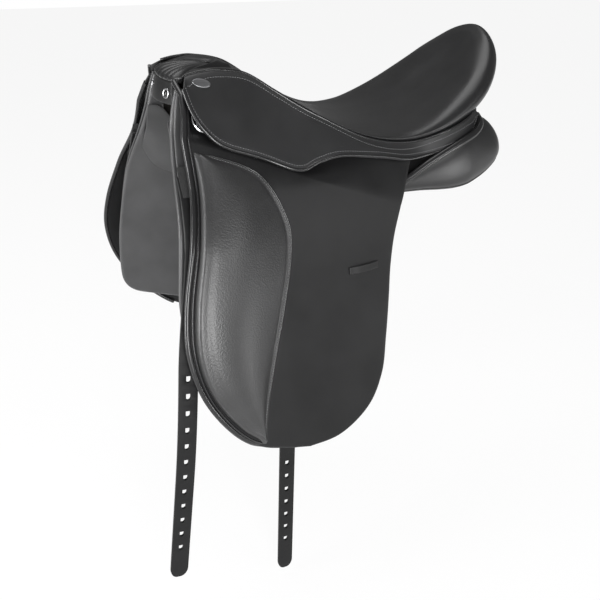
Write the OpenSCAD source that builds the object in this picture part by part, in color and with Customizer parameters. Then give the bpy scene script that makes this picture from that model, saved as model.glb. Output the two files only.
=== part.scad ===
// Dressage saddle with its tree, seat, skirts, flaps, knee pads, panels and girth straps.
// +X runs to the cantle, +Y to the off side, +Z up. The origin lies in the gullet, on the level that
// the panels bear on, between the twist and the deepest part of the seat. Lengths are in millimetres.

/* [Seat] */
// Height of the seat's deepest part above the bearing level
seat_z = 75; // [71:1:79]
// Height of the top of the pommel
pommel_z = 156; // [152:1:160]
// Height of the top of the cantle
cantle_z = 184; // [178:1:190]
// Length from the origin forward to the skirts' front corners
pommel_x = 196; // [192:1:200]
// Length from the origin back to the cantle's top
cantle_x = 260; // [254:1:266]
// Half width of the seat at its widest
seat_hw = 132; // [128:1:136]
// Half width of the seat at the twist
twist_hw = 47; // [44:1:50]
// Thickness of the seat leather
cover_t = 3; // [2:0.5:3.5]
// Thickness of the seat foam on the centre line
foam_t = 20; // [17:1:22]
// Thickness of the pommel's rolled leather
roll_t = 7; // [5:0.5:9]

/* [Side] */
// Half spread of the flaps at their lower edge
spread_low = 217; // [213:1:221]
// How much narrower the sides are at the pommel's top than at the flaps' lower edge
spread_in = 163; // [160:1:166]
// How far the sides draw in at the twist
twist_in = 33; // [30:1:35]
// How far the front of each flap stands out
flare = 24; // [20:1:27]
// Thickness of the flap leather
flap_t = 4.5; // [3.5:0.5:5.5]
// Thickness of the skirt leather
skirt_t = 4; // [3:0.5:5]
// Depth of the pocket between the flap's head and the skirt
pocket = 18; // [14:1:18]
// Thickness of a knee pad at its front
knee_t = 22; // [14:1:28]
// Length of a keeper strip
keeper_l = 42; // [36:1:48]
// Width of a keeper strip
keeper_w = 11; // [8:1:14]
// Free height under a keeper strip
keeper_gap = 5; // [4.5:0.5:7]

/* [Panels and straps] */
// Half width of the gullet between the panels
gullet_hw = 34; // [31:1:38]
// Half width across the rear panels
panel_hw = 131; // [127:1:134]
// Depth of a panel below the bearing level
panel_sag = 15; // [10:1:20]
// Thickness of the panels at the front
panel_t = 18; // [14:1:21]
// Thickness of a panel flap
lining_t = 7; // [5:0.5:8]
// Thickness of a sweat flap
sweat_t = 4; // [3:0.5:5]
// Width of a front girth strap
front_strap_w = 24; // [21:1:27]
// Width of a rear girth strap
rear_strap_w = 22; // [19:1:25]
// Thickness of the girth straps
strap_t = 4; // [3:0.5:4.5]
// Height of the tips of the front girth straps
front_tip_z = -476; // [-500:2:-466]
// Height of the tips of the rear girth straps
rear_tip_z = -547; // [-570:2:-530]
// Pitch of the holes in a front strap
front_pitch = 22.7; // [20:0.1:25.4]
// Pitch of the holes in a rear strap
rear_pitch = 22.9; // [20:0.1:25.4]
// Width of a strap hole
hole_d = 7; // [5:0.5:8]

/* [Tree and metal] */
// Thickness of the wooden tree
tree_t = 11; // [9:0.5:12]
// Thickness of the steel plates and springs
plate_t = 2.5; // [2:0.5:3]
// Thickness of the seat and girth webs
web_t = 2; // [1.5:0.5:2.5]
// Diameter of a stirrup bar
bar_d = 9; // [8:0.5:10]
// Length of a stirrup bar
bar_l = 66; // [60:1:72]
// Diameter of a catch pin
pin_d = 4; // [3:0.5:4.5]
// Diameter of the wire of a dee
dee_wire = 4.5; // [3.5:0.5:5]
// Width of a dee inside its wire
dee_w = 25; // [22:1:27]
// Diameter of a head nail
nail_d = 13; // [9:1:15]
// Length of the oval plate
oval_l = 23; // [19:1:26]

/* [Clearances] */
// Gap between pieces that lie on one another
gap = 0.5; // [0.4:0.1:0.8]
// Gap along the bend of a flap or skirt
bend_gap = 0.8; // [0.6:0.1:1.2]
// Radial clearance of pins and dee bars in their bores
run = 0.05; // [0.03:0.01:0.1]

/* [Hidden] */
near = -1;
off = 1;
black = [0.13, 0.13, 0.14];
black_soft = [0.2, 0.2, 0.21];
wood = [0.74, 0.58, 0.38];
steel = [0.75, 0.76, 0.78];
$fn = 48;

// Smooth curves through a few points
function clamp(t) = max(0, min(1, t));
function ease(t) = let (c = clamp(t)) c * c * (3 - 2 * c);
function lerp(a, b, t) = a + (b - a) * t;
function hermite(a, b, ma, mb,
    t) = a + t * (ma + t * (3 * (b - a) - 2 * ma - mb + t * (2 * (a - b) + ma + mb)));
function span(p, x, i = 0) = (i >= len(p) - 2 || x < p[i + 1][0]) ? i : span(p, x, i + 1);
function knot(p, i) = let (a = max(0, i - 1), b = min(len(p) - 1, i + 1))
    (p[b][1] - p[a][1]) / (p[b][0] - p[a][0]);
function curve(p, x) = let (i = span(p, x), h = p[i + 1][0] - p[i][0], t = clamp((x - p[i][0]) / h))
    hermite(p[i][1], p[i + 1][1], knot(p, i) * h, knot(p, i + 1) * h, t);
function along(p, u) = let (n = len(p) - 1, i = max(0, min(n - 1, floor(u))), a = p[max(0, i - 1)],
    d = p[min(n, i + 2)])
    hermite(p[i], p[i + 1], (p[i + 1] - a) / 2, (d - p[i]) / 2, u - i);
function around(p, u) = let (n = len(p), i = floor(u) % n)
    hermite(p[i], p[(i + 1) % n], (p[(i + 1) % n] - p[(i + n - 1) % n]) / 2,
        (p[(i + 2) % n] - p[i]) / 2, u - floor(u));
function both(half) = concat(half, [for (i = [len(half) - 2:-1:1]) [half[i][0], -half[i][1],
    half[i][2]]]);

// Solids between two grids of points, and through closed rings
function cell(a, b, c, d) = [[a, c, b], [b, c, d]];
module skin(inner, outer) {
    n = len(outer);
    m = len(outer[0]);
    points = [for (g = [outer, inner]) for (row = g) each row];
    k = n * m;
    faces = concat(
        [for (r = [0:n - 2]) for (c = [0:m - 2]) let (i = r * m + c) each cell(i, i + 1, i + m,
            i + m + 1)],
        [for (r = [0:n - 2]) for (c = [0:m - 2]) let (i = k + r * m + c) each cell(i, i + m, i + 1,
            i + m + 1)],
        [for (c = [0:m - 2]) let (i = c) each cell(i, k + i, i + 1, k + i + 1)],
        [for (c = [0:m - 2]) let (i = (n - 1) * m + c) each cell(i, i + 1, k + i, k + i + 1)],
        [for (r = [0:n - 2]) let (i = r * m) each cell(i, i + m, k + i, k + i + m)],
        [for (r = [0:n - 2]) let (i = r * m + m - 1) each cell(i, k + i, i + m, k + i + m)]);
    polyhedron(points, faces);
}
module pan(inner, outer) {
    n = len(outer);
    m = len(outer[0]);
    h = m / 2;
    k = n * m;
    points = [for (g = [outer, inner]) for (row = g) each row];
    strip = concat([[0, 1, m - 1], [h - 1, h, h + 1]],
        [for (i = [1:h - 2]) each [[i, i + 1, m - i - 1], [i, m - i - 1, m - i]]]);
    faces = concat(
        [for (r = [0:n - 2]) for (c = [0:m - 1]) let (i = r * m, j = (c + 1) % m)
            each cell(i + c, i + j, i + m + c, i + m + j)],
        [for (r = [0:n - 2]) for (c = [0:m - 1]) let (i = k + r * m, j = (c + 1) % m)
            each cell(i + c, i + m + c, i + j, i + m + j)],
        [for (c = [0:m - 1]) let (i = (n - 1) * m, j = (c + 1) % m)
            each cell(i + c, i + j, k + i + c, k + i + j)],
        strip,
        [for (f = strip) [k + f[0], k + f[2], k + f[1]]]);
    polyhedron(points, faces);
}
function mean(p, i = 0) = i == len(p) - 1 ? p[i] : p[i] + mean(p, i + 1);
module loft(rings) {
    n = len(rings);
    m = len(rings[0]);
    points = concat([for (row = rings) each row], [mean(rings[0]) / m, mean(rings[n - 1]) / m]);
    faces = concat(
        [for (r = [0:n - 2]) for (c = [0:m - 1]) let (i = r * m, j = (c + 1) % m)
            each cell(i + c, i + j, i + m + c, i + m + j)],
        [for (c = [0:m - 1]) [c, (c + 1) % m, n * m]],
        [for (c = [0:m - 1]) let (i = (n - 1) * m) [i + (c + 1) % m, i + c, n * m + 1]]);
    polyhedron(points, faces);
}
module on(s) { mirror([0, s == near ? 1 : 0, 0]) children(); }

// The seat: places along it are given for a pommel at -196 and a cantle at 260
function at(x) = x < 0 ? x * pommel_x / 196 : x * cantle_x / 260;
function low(t) = lerp(seat_z, pommel_z, t);
function high(t) = lerp(seat_z, cantle_z, t);
seat_top = [[at(-140), pommel_z - 1], [at(-122), pommel_z - 5], [at(-105), low(0.79)], [at(-85),
    low(0.61)],
    [at(-60), low(0.42)], [at(-30), low(0.22)], [at(0), low(0.085)], [at(30), low(0.02)], [at(50),
        seat_z],
    [at(80), high(0.01)], [at(115), high(0.06)], [at(145), high(0.16)], [at(175), high(0.35)],
        [at(205), high(0.57)],
    [at(235), high(0.83)], [at(250), high(0.95)]];
function top_z(x) = curve(seat_top, x);
welt_half = [[at(-140), 0, pommel_z - 5], [at(-167), 28, pommel_z - 5], [at(-194), twist_hw + 6,
    pommel_z - 8],
    [at(-152), twist_hw + 6, pommel_z - 6], [at(-112), twist_hw - 1, pommel_z - 13], [at(-72),
        twist_hw + 8, low(0.54)],
    [at(-20), seat_hw - 51, seat_z + 15], [at(37), seat_hw - 26, seat_z - 8.5], [at(94), seat_hw - 8,
        seat_z - 17],
    [at(150), seat_hw - 5, seat_z - 4], [at(205), seat_hw - 30, seat_z + 9], [at(240), seat_hw - 77,
        seat_z + 17],
    [at(252), 0, seat_z + 21]];
bulge_half = [[at(-137), 0, pommel_z - 2.5], [at(-163), 28, pommel_z - 2.5], [at(-190), twist_hw + 5,
    pommel_z - 6.5],
    [at(-151), twist_hw + 7, pommel_z - 5], [at(-112), twist_hw + 1, pommel_z - 12], [at(-72),
        twist_hw + 10, low(0.58)],
    [at(-20), seat_hw - 49, seat_z + 17], [at(37), seat_hw - 23, seat_z - 6], [at(94), seat_hw - 4,
        seat_z - 12],
    [at(152), seat_hw - 1, seat_z + 5], [at(217), seat_hw - 21, seat_z + 36], [at(260), seat_hw - 68,
        cantle_z - 38],
    [at(275), 0, cantle_z - 26]];
rim_half = [[at(-132), 0, pommel_z - 1], [at(-157), 26, pommel_z - 2], [at(-182), twist_hw - 2,
    pommel_z - 5],
    [at(-150), twist_hw - 1, pommel_z - 4], [at(-112), twist_hw - 6, pommel_z - 10.5], [at(-71),
        twist_hw + 2, low(0.565)],
    [at(-21), seat_hw - 59, seat_z + 16.5], [at(36), seat_hw - 36, seat_z - 5], [at(93), seat_hw - 19,
        seat_z - 8.5],
    [at(148), seat_hw - 19, seat_z + 11], [at(205), seat_hw - 27, seat_z + 53], [at(244),
        seat_hw - 70, cantle_z - 18],
    [at(260), 0, cantle_z]];
spine_x = [-116, -114, -110, -105, -92, -60, -22, 30, 85, 138, 185, 215, 228];
spine_half = [for (x = spine_x) [at(x), 1.5, top_z(at(x))]];
mid_half = [for (i = [0:len(spine_x) - 1]) let (a = spine_half[i], b = rim_half[i])
    [lerp(a[0], b[0], 0.55), lerp(a[1], b[1], 0.55), lerp(a[2], b[2], i < 5 ? 0.5 : 0.2)]];
seat_cols = 44;
seat_rows = 9;
seat_loops = [for (h = [spine_half, mid_half, rim_half, bulge_half, welt_half]) both(h)];
function seat_at(q, u) = along([for (p = seat_loops) around(p, u)], q);
// The same surface laid deeper by d, towards the spine and down
function seat_in(q, u, d) = let (p = seat_at(q, u), s = seat_at(0, u), e = p - s,
    f = ease(q - 1.7) * d / max(norm([e[0], e[1]]), 1))
    [p[0] - e[0] * f, p[1] - e[1] * f, p[2] - d * (1 - ease(q - 2.6))];
function seat_grid(d) = [for (k = [0:seat_rows - 1]) [for (j = [0:seat_cols - 1])
    seat_in(4 * k / (seat_rows - 1), j * len(seat_loops[0]) / seat_cols, d)]];
foam_top = cover_t + gap;
foam_low = foam_top + foam_t;
foam_rim = 7;
function foam_under(q, u) = let (s = seat_at(0, u), w = seat_in(4, u, foam_top + foam_rim))
    lerp([s[0], s[1], s[2] - foam_low], [w[0], w[1], w[2] + 2], q / 4);
foam_under_grid = [for (k = [0:seat_rows - 1]) [for (j = [0:seat_cols - 1])
    foam_under(4 * k / (seat_rows - 1), j * len(seat_loops[0]) / seat_cols)]];
// Height of the welt and its half width, and of the underside of the foam, at a place on the seat
welt_z = [for (i = [3:len(welt_half) - 1]) [welt_half[i][0], welt_half[i][2]]];
welt_y = concat([[welt_half[2][0], welt_half[2][1]]],
    [for (i = [3:len(welt_half) - 1]) [welt_half[i][0], welt_half[i][1]]]);
function under_z(x, y) = lerp(top_z(x) - foam_low, curve(welt_z, x), clamp(abs(y) / curve(welt_y, x)));
foam_sag = 6.8;
function tree_z(x, y) = under_z(x, y) - foam_sag - web_t - 4 * gap;

// The side of the saddle: half spread of the flaps' inner face at a length and height
fall_z = -320;
twist_x = -75;
twist_l = 75;
function base_y(z) = spread_low - spread_in * pow(max(0, z - fall_z) / (pommel_z + 4 - fall_z), 2);
function side_y(x, z) = base_y(z) - twist_in * exp(-pow((x - twist_x) / twist_l, 2)) * ease((z - 20) / 80)
    + flare * ease((-100 - x) / 140) * ease((70 - z) / 100);
function laid(p, lift) = [p[0], side_y(p[0], p[1]) + lift, p[1]];
function unit(v) = v / norm(v);
// Places its children on the side: x along it, y outward, z up
module on_side(x, z, lift) {
    o = laid([x, z], lift);
    e = unit(laid([x + 1, z], lift) - o);
    n = unit(cross(laid([x, z + 1], lift) - o, e));
    u = cross(e, n);
    multmatrix([[e[0], n[0], u[0], o[0]], [e[1], n[1], u[1], o[1]], [e[2], n[2], u[2], o[2]]]) children();
}

// Layers on the side, from the flap's inner face inward
strap_in = 19.5;
web_in = strap_in - 4 * gap - web_t;
leg_in = 18.7;
leg_t = 9.5;
sweat_in = strap_in + strap_t + 5.6;
lining_in = sweat_in + sweat_t + 9.4;
panel_in = lining_in + lining_t + 5 * gap;

// The flap bends on a straight line from the front edge below the skirt to the rear edge
bend_front = [-214, 85];
bend_rear = [57, -13.5];
function bend_z(x) = lerp(bend_front[1], bend_rear[1],
    (x - bend_front[0]) / (bend_rear[0] - bend_front[0]));
flap_front = [bend_front, [-217, 32], [-232, -25], [-248, -85], [-252, -140], [-237, -198], [-200, -255],
    [-158, -289], [-112, -308]];
flap_rear = [bend_rear, [45, -48], [37, -85], [33, -125], [26, -177], [17, -224], [-6, -268], [-45,
    -301], [-90, -311]];
head_top = [[-213, 140], [-195, 136], [-167, 112], [-143, 78], [-110, 66], [-60, 57], [-10, 53], [40,
    45], [78, 34]];
function head_dip(p) = (pocket - 10 * ease((p[0] - 10) / 60)) * ease((p[1] - bend_z(p[0])) / 20)
    - 9 * ease((p[1] - 112) / 20);
flap_rows = 17;
flap_cols = 13;
function flap_grid(lift) = [for (r = [0:flap_rows - 1]) let (u = 8 * r / (flap_rows - 1))
    [for (c = [0:flap_cols - 1]) let (p = lerp(along(flap_front, u), along(flap_rear, u),
        c / (flap_cols - 1)))
        laid([p[0], p[1] - bend_gap / 2], lift)]];
function head_grid(lift) = [for (r = [0:5]) [for (c = [0:16])
    let (a = along(head_top, c / 2), b = lerp(bend_front, bend_rear, c / 16) + [0, bend_gap / 2],
        p = lerp(a, b, r / 5))
        laid(p, lift - head_dip(p))]];

// The knee pad lies on the flap between a front edge near the flap's and a curved rear seam
knee_front = [[-203, 71], [-207, 30], [-221, -25], [-237, -85], [-241, -140], [-227, -193], [-194,
    -244], [-170, -270],
    [-160, -284]];
knee_rear = [[-184, 66], [-126, 40], [-99, -12], [-101, -55], [-117, -110], [-133, -160], [-147,
    -212], [-154, -255],
    [-156, -284]];
function knee_rise(u, s) = 1.5 + knee_t * pow(sin(180 * pow(clamp(s), 0.42)), 0.7)
    * pow(sin(90 * clamp(u / 1.1)), 0.6) * pow(sin(90 * clamp((8 - u) / 3.4)), 0.7) * (1 - 0.25 * s);
function knee_grid(rise) = [for (r = [0:18]) let (u = 8 * r / 18) [for (c = [0:10]) let (s = c / 10,
    p = lerp(along(knee_front, u), along(knee_rear, u), s)) laid(p,
        flap_t + 3 * gap + rise * knee_rise(u, s))]];
keeper_at = [-2, -82];
keeper_rise = 3;
keeper_t = 2;
function keeper_grid(lift) = [for (r = [0:1]) [for (c = [0:12]) let (t = c / 12,
    p = keeper_at + [(t - 0.5) * keeper_l, (t - 0.5) * keeper_rise + (0.5 - r) * keeper_w])
        laid(p, flap_t + gap + lift + keeper_gap * ease(1 - abs(2 * t - 1) * 1.25 + 0.25))]];

// The skirt hangs from the welt: its upper line, lower edge and bend
skirt_top = [[at(-197), pommel_z - 8.5], [at(-186), pommel_z - 8], [at(-170), pommel_z - 7.5],
    [at(-150), pommel_z - 7.5],
    [at(-112), pommel_z - 14.5], [at(-72), low(0.54) - 1.5], [at(-48), low(0.365)], [at(-21),
        seat_z + 14],
    [at(36), seat_z - 9.5], [at(92), seat_z - 18.5], [at(150), seat_z - 5.5], [at(190), seat_z + 4],
        [at(208), seat_z + 8]];
skirt_low = [[-201, 136], [-196, 114], [-185, 93], [-163, 73], [-117, 56], [-72, 39.5], [-42, 45.5],
    [-8, 50], [42, 45],
    [at(92), seat_z - 37.5], [at(150), seat_z - 23], [at(188), seat_z - 11], [at(207), seat_z + 2]];
skirt_lift = flap_t + 1.2;
function skirt_at(u, v) = let (t = along(skirt_top, u), l = along(skirt_low, u), p = lerp(t, l, v),
    ty = curve(welt_y, max(t[0], welt_y[0][0])) + 2, ly = u < 8 ? side_y(l[0],
        l[1]) + skirt_lift : ty + 5,
    y = lerp(lerp(ty, ly, v), side_y(p[0], p[1]) + skirt_lift, 0.35 * ease(7 - u)))
    [p[0], y, p[1]];
lift_front = [-199, 119];
lift_rear = [30, 54];
function lift_z(x) = lerp(lift_front[1], lift_rear[1],
    (x - lift_front[0]) / (lift_rear[0] - lift_front[0]));
function above(p) = p[2] - lift_z(p[0]);
function split(u) = let (a = above(skirt_at(u, 0)), b = above(skirt_at(u, 1))) b < -2 ? a / (a - b) : 1;
function edge(u, d) = d / norm(skirt_at(u, 1) - skirt_at(u, 0));
lift_from = 1.2;
lift_to = 7.7;
function skirt_grid(lift, u0, u1, n, low) = [for (r = [0:4]) [for (c = [0:n]) let (u = lerp(u0, u1,
    c / n),
    h = split(u), a = low ? h + edge(u, bend_gap / 2) : 0,
    b = low || h == 1 ? 1 : h - edge(u, bend_gap / 2), p = skirt_at(u, lerp(a, b, r / 4)))
        p + [0, lift, 0]]];
oval_u = 1.9;
oval_v = 0.2;

// The pommel: rolls from the seat's front seam over to the front edge, and the facing below them
nose_x = -209;
function seam_at(t) = [at(-140 - 54 * pow(abs(t), 1.5)) - 5, (twist_hw + 4) * t,
    pommel_z - 4 - 5 * t * t];
function nose_at(t) = [nose_x + t * t, (twist_hw + 2) * t, pommel_z - 19 + 2 * t * t];
function pommel_at(t, w, d) = let (a = seam_at(t), b = nose_at(t), n = [-sin(90 * w), 0, cos(90 * w)])
    [lerp(a[0], b[0], sin(90 * w)), lerp(a[1], b[1], w), lerp(b[2], a[2], cos(90 * w))] + n * d;
function pommel_grid(d, ridge) = [for (r = [0:12]) [for (c = [0:20])
    pommel_at(c / 10 - 1, r / 12, d + ridge * abs(sin(540 * r / 12)))]];
function facing_grid(d) = [for (r = [0:3]) [for (c = [0:16]) let (t = c / 8 - 1, a = nose_at(t),
    b = [nose_x - 6, 46 * t, pommel_z - 46],
    p = lerp(a - [0, 0, 0.6], b, r / 3)) p + [d, 0, 0]]];
facing_t = 3;

// The tree: an arched head, two rails with a flange for the stirrup bars, and a cantle board
head_from = -192;
head_to = -164;
crown_z = pommel_z - 30;
crown_out = [[0, crown_z], [26, crown_z - 2.5], [46, crown_z - 10], [59, crown_z - 19]];
crown_in = [[0, crown_z - 13], [21, crown_z - 15], [37, crown_z - 22], [47, crown_z - 31]];
leg_z = [88, 72, 50, 25, 0];
plate_leg_z = [88, 72];
function arch_half(x, crown, d, legs) = concat([for (p = crown) [x, p[0], p[1]]],
    [for (z = legs) laid([x, z], -leg_in - d)]);
function arch(x, crown, d, legs) = let (h = arch_half(x, crown, d, legs)) concat(
    [for (i = [len(h) - 1:-1:1]) [h[i][0], -h[i][1], h[i][2]]], h);
function flip(g) = [for (c = [0:len(g[0]) - 1]) [for (r = [0:len(g) - 1]) g[r][c]]];
function arch_grid(x0, x1, crown, d, legs) = flip([for (i = [0:3]) arch(lerp(x0, x1, i / 3), crown, d,
    legs)]);
function crown_grid(x0, x1, d) = flip([for (x = [x0, x1]) [for (i = [-6:6]) let (p = along(crown_in,
    abs(i) / 2.2))
    [x, (p[0] - d * 0.35) * sign(i), p[1] - d]]]);
board_from = 184;
bar_x = -92;
bar_z = 82;
bar_tilt = 42;
bar_in = 26;
function flange_y(z) = side_y(bar_x, bar_z) - bar_in - gap - (z - bar_z) * tan(bar_tilt);
spring_gap = 3 * gap;
function rail_in(x) = 19 + 13 * ease((x + 60) / 120);
function rail_out(x) = 0.78 * curve(welt_y, x);
function rail_win(x) = ease((x + 165) / 22) * ease((-22 - x) / 22);
function rail_path(x, d) = let (a = rail_in(x), b = rail_out(x), w = rail_win(x), z = tree_z(x, b),
    f = [flange_y(97), 97], g = [flange_y(60), 60], i = [-8.5, -4])
    d == 0 ? [[a, tree_z(x, a)], [lerp(a, b, 0.5), tree_z(x, lerp(a, b, 0.5))], [b, z],
        lerp([b + 1.5, z - 4], f, w), lerp([b + 2, z - 8], g, w)]
    : [[a, tree_z(x, a) - tree_t], [lerp(a, b, 0.4), tree_z(x, lerp(a, b, 0.4)) - tree_t], [lerp(a, b,
        0.75), z - tree_t],
        lerp([b - 4, z - tree_t], f + i, w), lerp([b - 1, z - tree_t], g + i, w)];
function rail_grid(d) = [for (k = [0:24]) let (x = lerp(board_from - gap, head_to + gap, k / 24))
    [for (p = rail_path(x, d)) [x, p[0], p[1]]]];
function spring_grid(d) = [for (k = [0:20]) let (x = lerp(176, -150, k / 20), a = rail_in(x))
    [for (y = [a + 0.5, a + 6.5])
    [x, y, tree_z(x, a) - tree_t - spring_gap - d]]];
function board_grid(d) = [for (k = [0:5]) let (x = lerp(228, board_from, k / 5),
    w = 0.74 * curve(welt_y, x)) [for (c = [-6:6])
    [x, w * c / 6, tree_z(x - 14, w * c / 6) - d]]];
function web_grid(d) = [for (k = [0:20]) let (x = lerp(200, -120, k / 20), w = rail_in(x) + 7)
    [for (c = [-2:2])
    [x, w * c / 2, under_z(x, w * c / 2) - foam_sag - gap - d]]];
function girth_lift(x, z) = -web_in - (x > -140 ? 1.2 + 10.6 * ease((z - 37) / 22) : 0);
function girth_grid(x0, x1, z0, z1, d) = [for (r = [0:4]) [for (c = [0:4])
    let (x = lerp(x0, x1, c / 4), z = lerp(z1, z0, r / 4)) laid([x, z], girth_lift(x, z) - web_t + d)]];

// The stirrup bar in its own frame: x along it, y away from the tree
bar_base = 3;
bar_slot = 6.5;
bar_y = bar_base + bar_slot + bar_d / 2;
catch_x = bar_l / 2 - 4;
tongue_t = 4;
catch_t = 3;
rivet_x = 22;
module at_bar(s) {
    on(s) translate([bar_x, side_y(bar_x, bar_z) - bar_in, bar_z]) rotate([bar_tilt, 0, 0]) children();
}

// The dee's centre, and the way that its round side points
dee_at = [-180, 101];
dee_lift = -1.4;
dee_r = dee_w / 2 + dee_wire / 2;
module at_dee(s) { on(s) on_side(dee_at[0], dee_at[1], dee_lift) rotate([90, 0, 0]) rotate([0, 0,
    135]) children(); }

// Sheets below the flap: a sweat flap and, inside it, the panel's own flap
sweat_front = [[-212, 100], [-218, 50], [-226, -8], [-234, -80], [-235, -134], [-226, -185], [-206,
    -228], [-185, -247],
    [-165, -252]];
sweat_rear = [[-205, 97], [-172, 30], [-70, 24], [-22, 4], [-26, -60], [-33, -135], [-48, -200], [-80,
    -238], [-130, -252]];
lining_front = [[-212, 103], [-219, 55], [-228, -5], [-238, -80], [-241, -130], [-236, -185], [-218,
    -234], [-196, -254],
    [-175, -259]];
lining_rear = [[-205, 99], [-170, 28], [-68, 20], [-18, 0], [-21, -65], [-28, -140], [-43, -205],
    [-76, -243], [-130, -259]];
hang_in = 18;
function sheet_grid(front, rear, lift) = [for (r = [0:16]) let (u = 8 * r / 16) [for (c = [0:8])
    let (p = lerp(along(front, u), along(rear, u), c / 8)) laid(p,
        lift - hang_in * ease((10 - p[1]) / 220))]];

// The panels: thin beside the horse's shoulder, then full cushions under the seat
front_top = [[-214, 92], [-196, 88], [-172, 58], [-150, 38], [-60, 34]];
front_low = [[-214, 22], [-190, -15], [-150, -30], [-60, -28]];
panel_end = 261;
roll_line = [[60, 4], [82, 13], [110, 26], [135, 37], [160, 47], [180, 55], [205, 66]];
rear_hw = [[40, panel_hw], [150, panel_hw], [200, panel_hw - 6], [235, panel_hw - 17], [panel_end,
    panel_hw - 30]];
rear_low = [[40, -panel_sag], [180, -panel_sag - 1], [215, -panel_sag + 1], [240, -panel_sag + 9],
    [panel_end, 10]];
rear_top = [[40, 26], [110, 33], [160, 46], [205, 63], [232, 66], [248, 58], [panel_end, 44]];
function front_ring(x) = let (t = curve(front_top, x), l = curve(front_low, x), m = (t + l) / 2,
    h = panel_t)
    [[side_y(x, m) - panel_in, m], [side_y(x, t - 3) - panel_in - 2, t - 3], [side_y(x,
        t) - panel_in - h / 2, t],
        [side_y(x, t - 6) - panel_in - h + 1, t - 6], [side_y(x, m) - panel_in - h, m],
        [side_y(x, l + 8) - panel_in - h, l + 8], [side_y(x, l) - panel_in - h / 2, l], [side_y(x,
            l + 6) - panel_in - 1, l + 6]];
function rear_ring(x) = let (w = curve(rear_hw, x), l = curve(rear_low, x), t = curve(rear_top, x),
    r = curve(roll_line, x), g = gullet_hw,
    m = min(8, (l + t) / 2))
    [[w, max(m, l + 8)], [w - 12, min(max(r - 12, l + 14), t - 4)], [lerp(g, w, 0.5), t], [g + 5,
        t - 6], [g, max(m, l + 8)],
        [g + 6, l + 9], [lerp(g, w, 0.5), l], [w - 8, l + 8]];
panel_x = [-214, -212, -206, -192, -170, -140, -100, -60, -15, 10, 35, 60, 90, 120, 150, 180, 205,
    228, 244, 252, panel_end];
function end_scale(i) = i == 0 ? 0.4 : i == 1 ? 0.75
    : i == len(panel_x) - 1 ? 0.45 : i == len(panel_x) - 2 ? 0.85 : 1;
function panel_ring(i) = let (x = panel_x[i], t = ease((x + 15) / 85), a = front_ring(min(x, 60)),
    b = rear_ring(max(x, 40)),
    p = [for (k = [0:7]) lerp(a[k], b[k], t)], m = mean(p) / 8, s = end_scale(i))
    [for (k = [0:23]) let (q = lerp(m, around(p, k / 3), s)) [x, q[0], q[1]]];
roll_r = 5.7;
roll_x = [76, 82, 94, 110, 130, 150, 170, 190, 200, 207];
function roll_ring(i) = let (x = roll_x[i], e = i == 0 || i == len(roll_x) - 1 ? 0.4 : 1,
    y = curve(rear_hw, x) + 1.2)
    [for (k = [0:9]) [x, y + e * roll_r * cos(36 * k), curve(roll_line, x) + e * roll_r * sin(36 * k)]];

// The girth straps: the middle line of each, its outline, and its run down the side
front_mid = [[-600, -289], [-427, -273], [-177, -248], [-120, -239], [-40, -221], [10, -213], [46, -211]];
tucked_mid = [[-300, -190], [-100, -201], [10, -211], [46, -211]];
rear_mid = [[-600, -111], [-446, -111], [46, -111]];
front_top_z = 40;
rear_top_z = 32;
front_first = 49;
rear_first = 55;
front_n = 12;
rear_n = 7;
front_up = front_first + 8.5 * front_pitch;
rear_up = (rear_top_z - rear_tip_z) / 2 - 10;
front_fold = front_tip_z + front_up;
rear_fold = rear_tip_z + rear_up;
fold_in = 4;
function steps(a, b, n) = [for (i = [0:n]) lerp(a, b, i / n)];
function strap_y(mid, z, lift) = side_y(curve(mid, z), z) - lift;
module strap_outline(mid, top, tip, w) {
    polygon(concat([for (z = steps(top, tip + 14, 14)) [curve(mid, z) + w / 2, z]],
        [[curve(mid, tip) + w / 5, tip], [curve(mid, tip) - w / 5, tip]],
        [for (z = steps(tip + 14, top, 14)) [curve(mid, z) - w / 2, z]]));
}
module along_y() { translate([0, 150, 0]) rotate([90, 0, 0]) linear_extrude(300,
    center = true) children(); }
module along_x() { translate([-190, 0, 0]) rotate([90, 0, 90]) linear_extrude(300,
    center = true) children(); }
module hole() {
    circle(d = hole_d, $fn = 24);
    translate([-hole_d / 2, 0]) square([hole_d, hole_d * 0.8]);
}
module hung_profile(mid, top, tip) {
    polygon(concat([for (z = steps(top, tip, 16)) [strap_y(mid, z, strap_in), z]],
        [for (z = steps(tip, top, 16)) [strap_y(mid, z, strap_in + strap_t), z]]));
}
module hung_strap(mid, top, tip, w, first, pitch, n) {
    intersection() {
        along_x() hung_profile(mid, top, tip);
        along_y() difference() {
            strap_outline(mid, top, tip, w);
            for (i = [0:n - 1]) translate([curve(mid, tip + first + i * pitch),
                tip + first + i * pitch]) hole();
        }
    }
}
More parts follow.
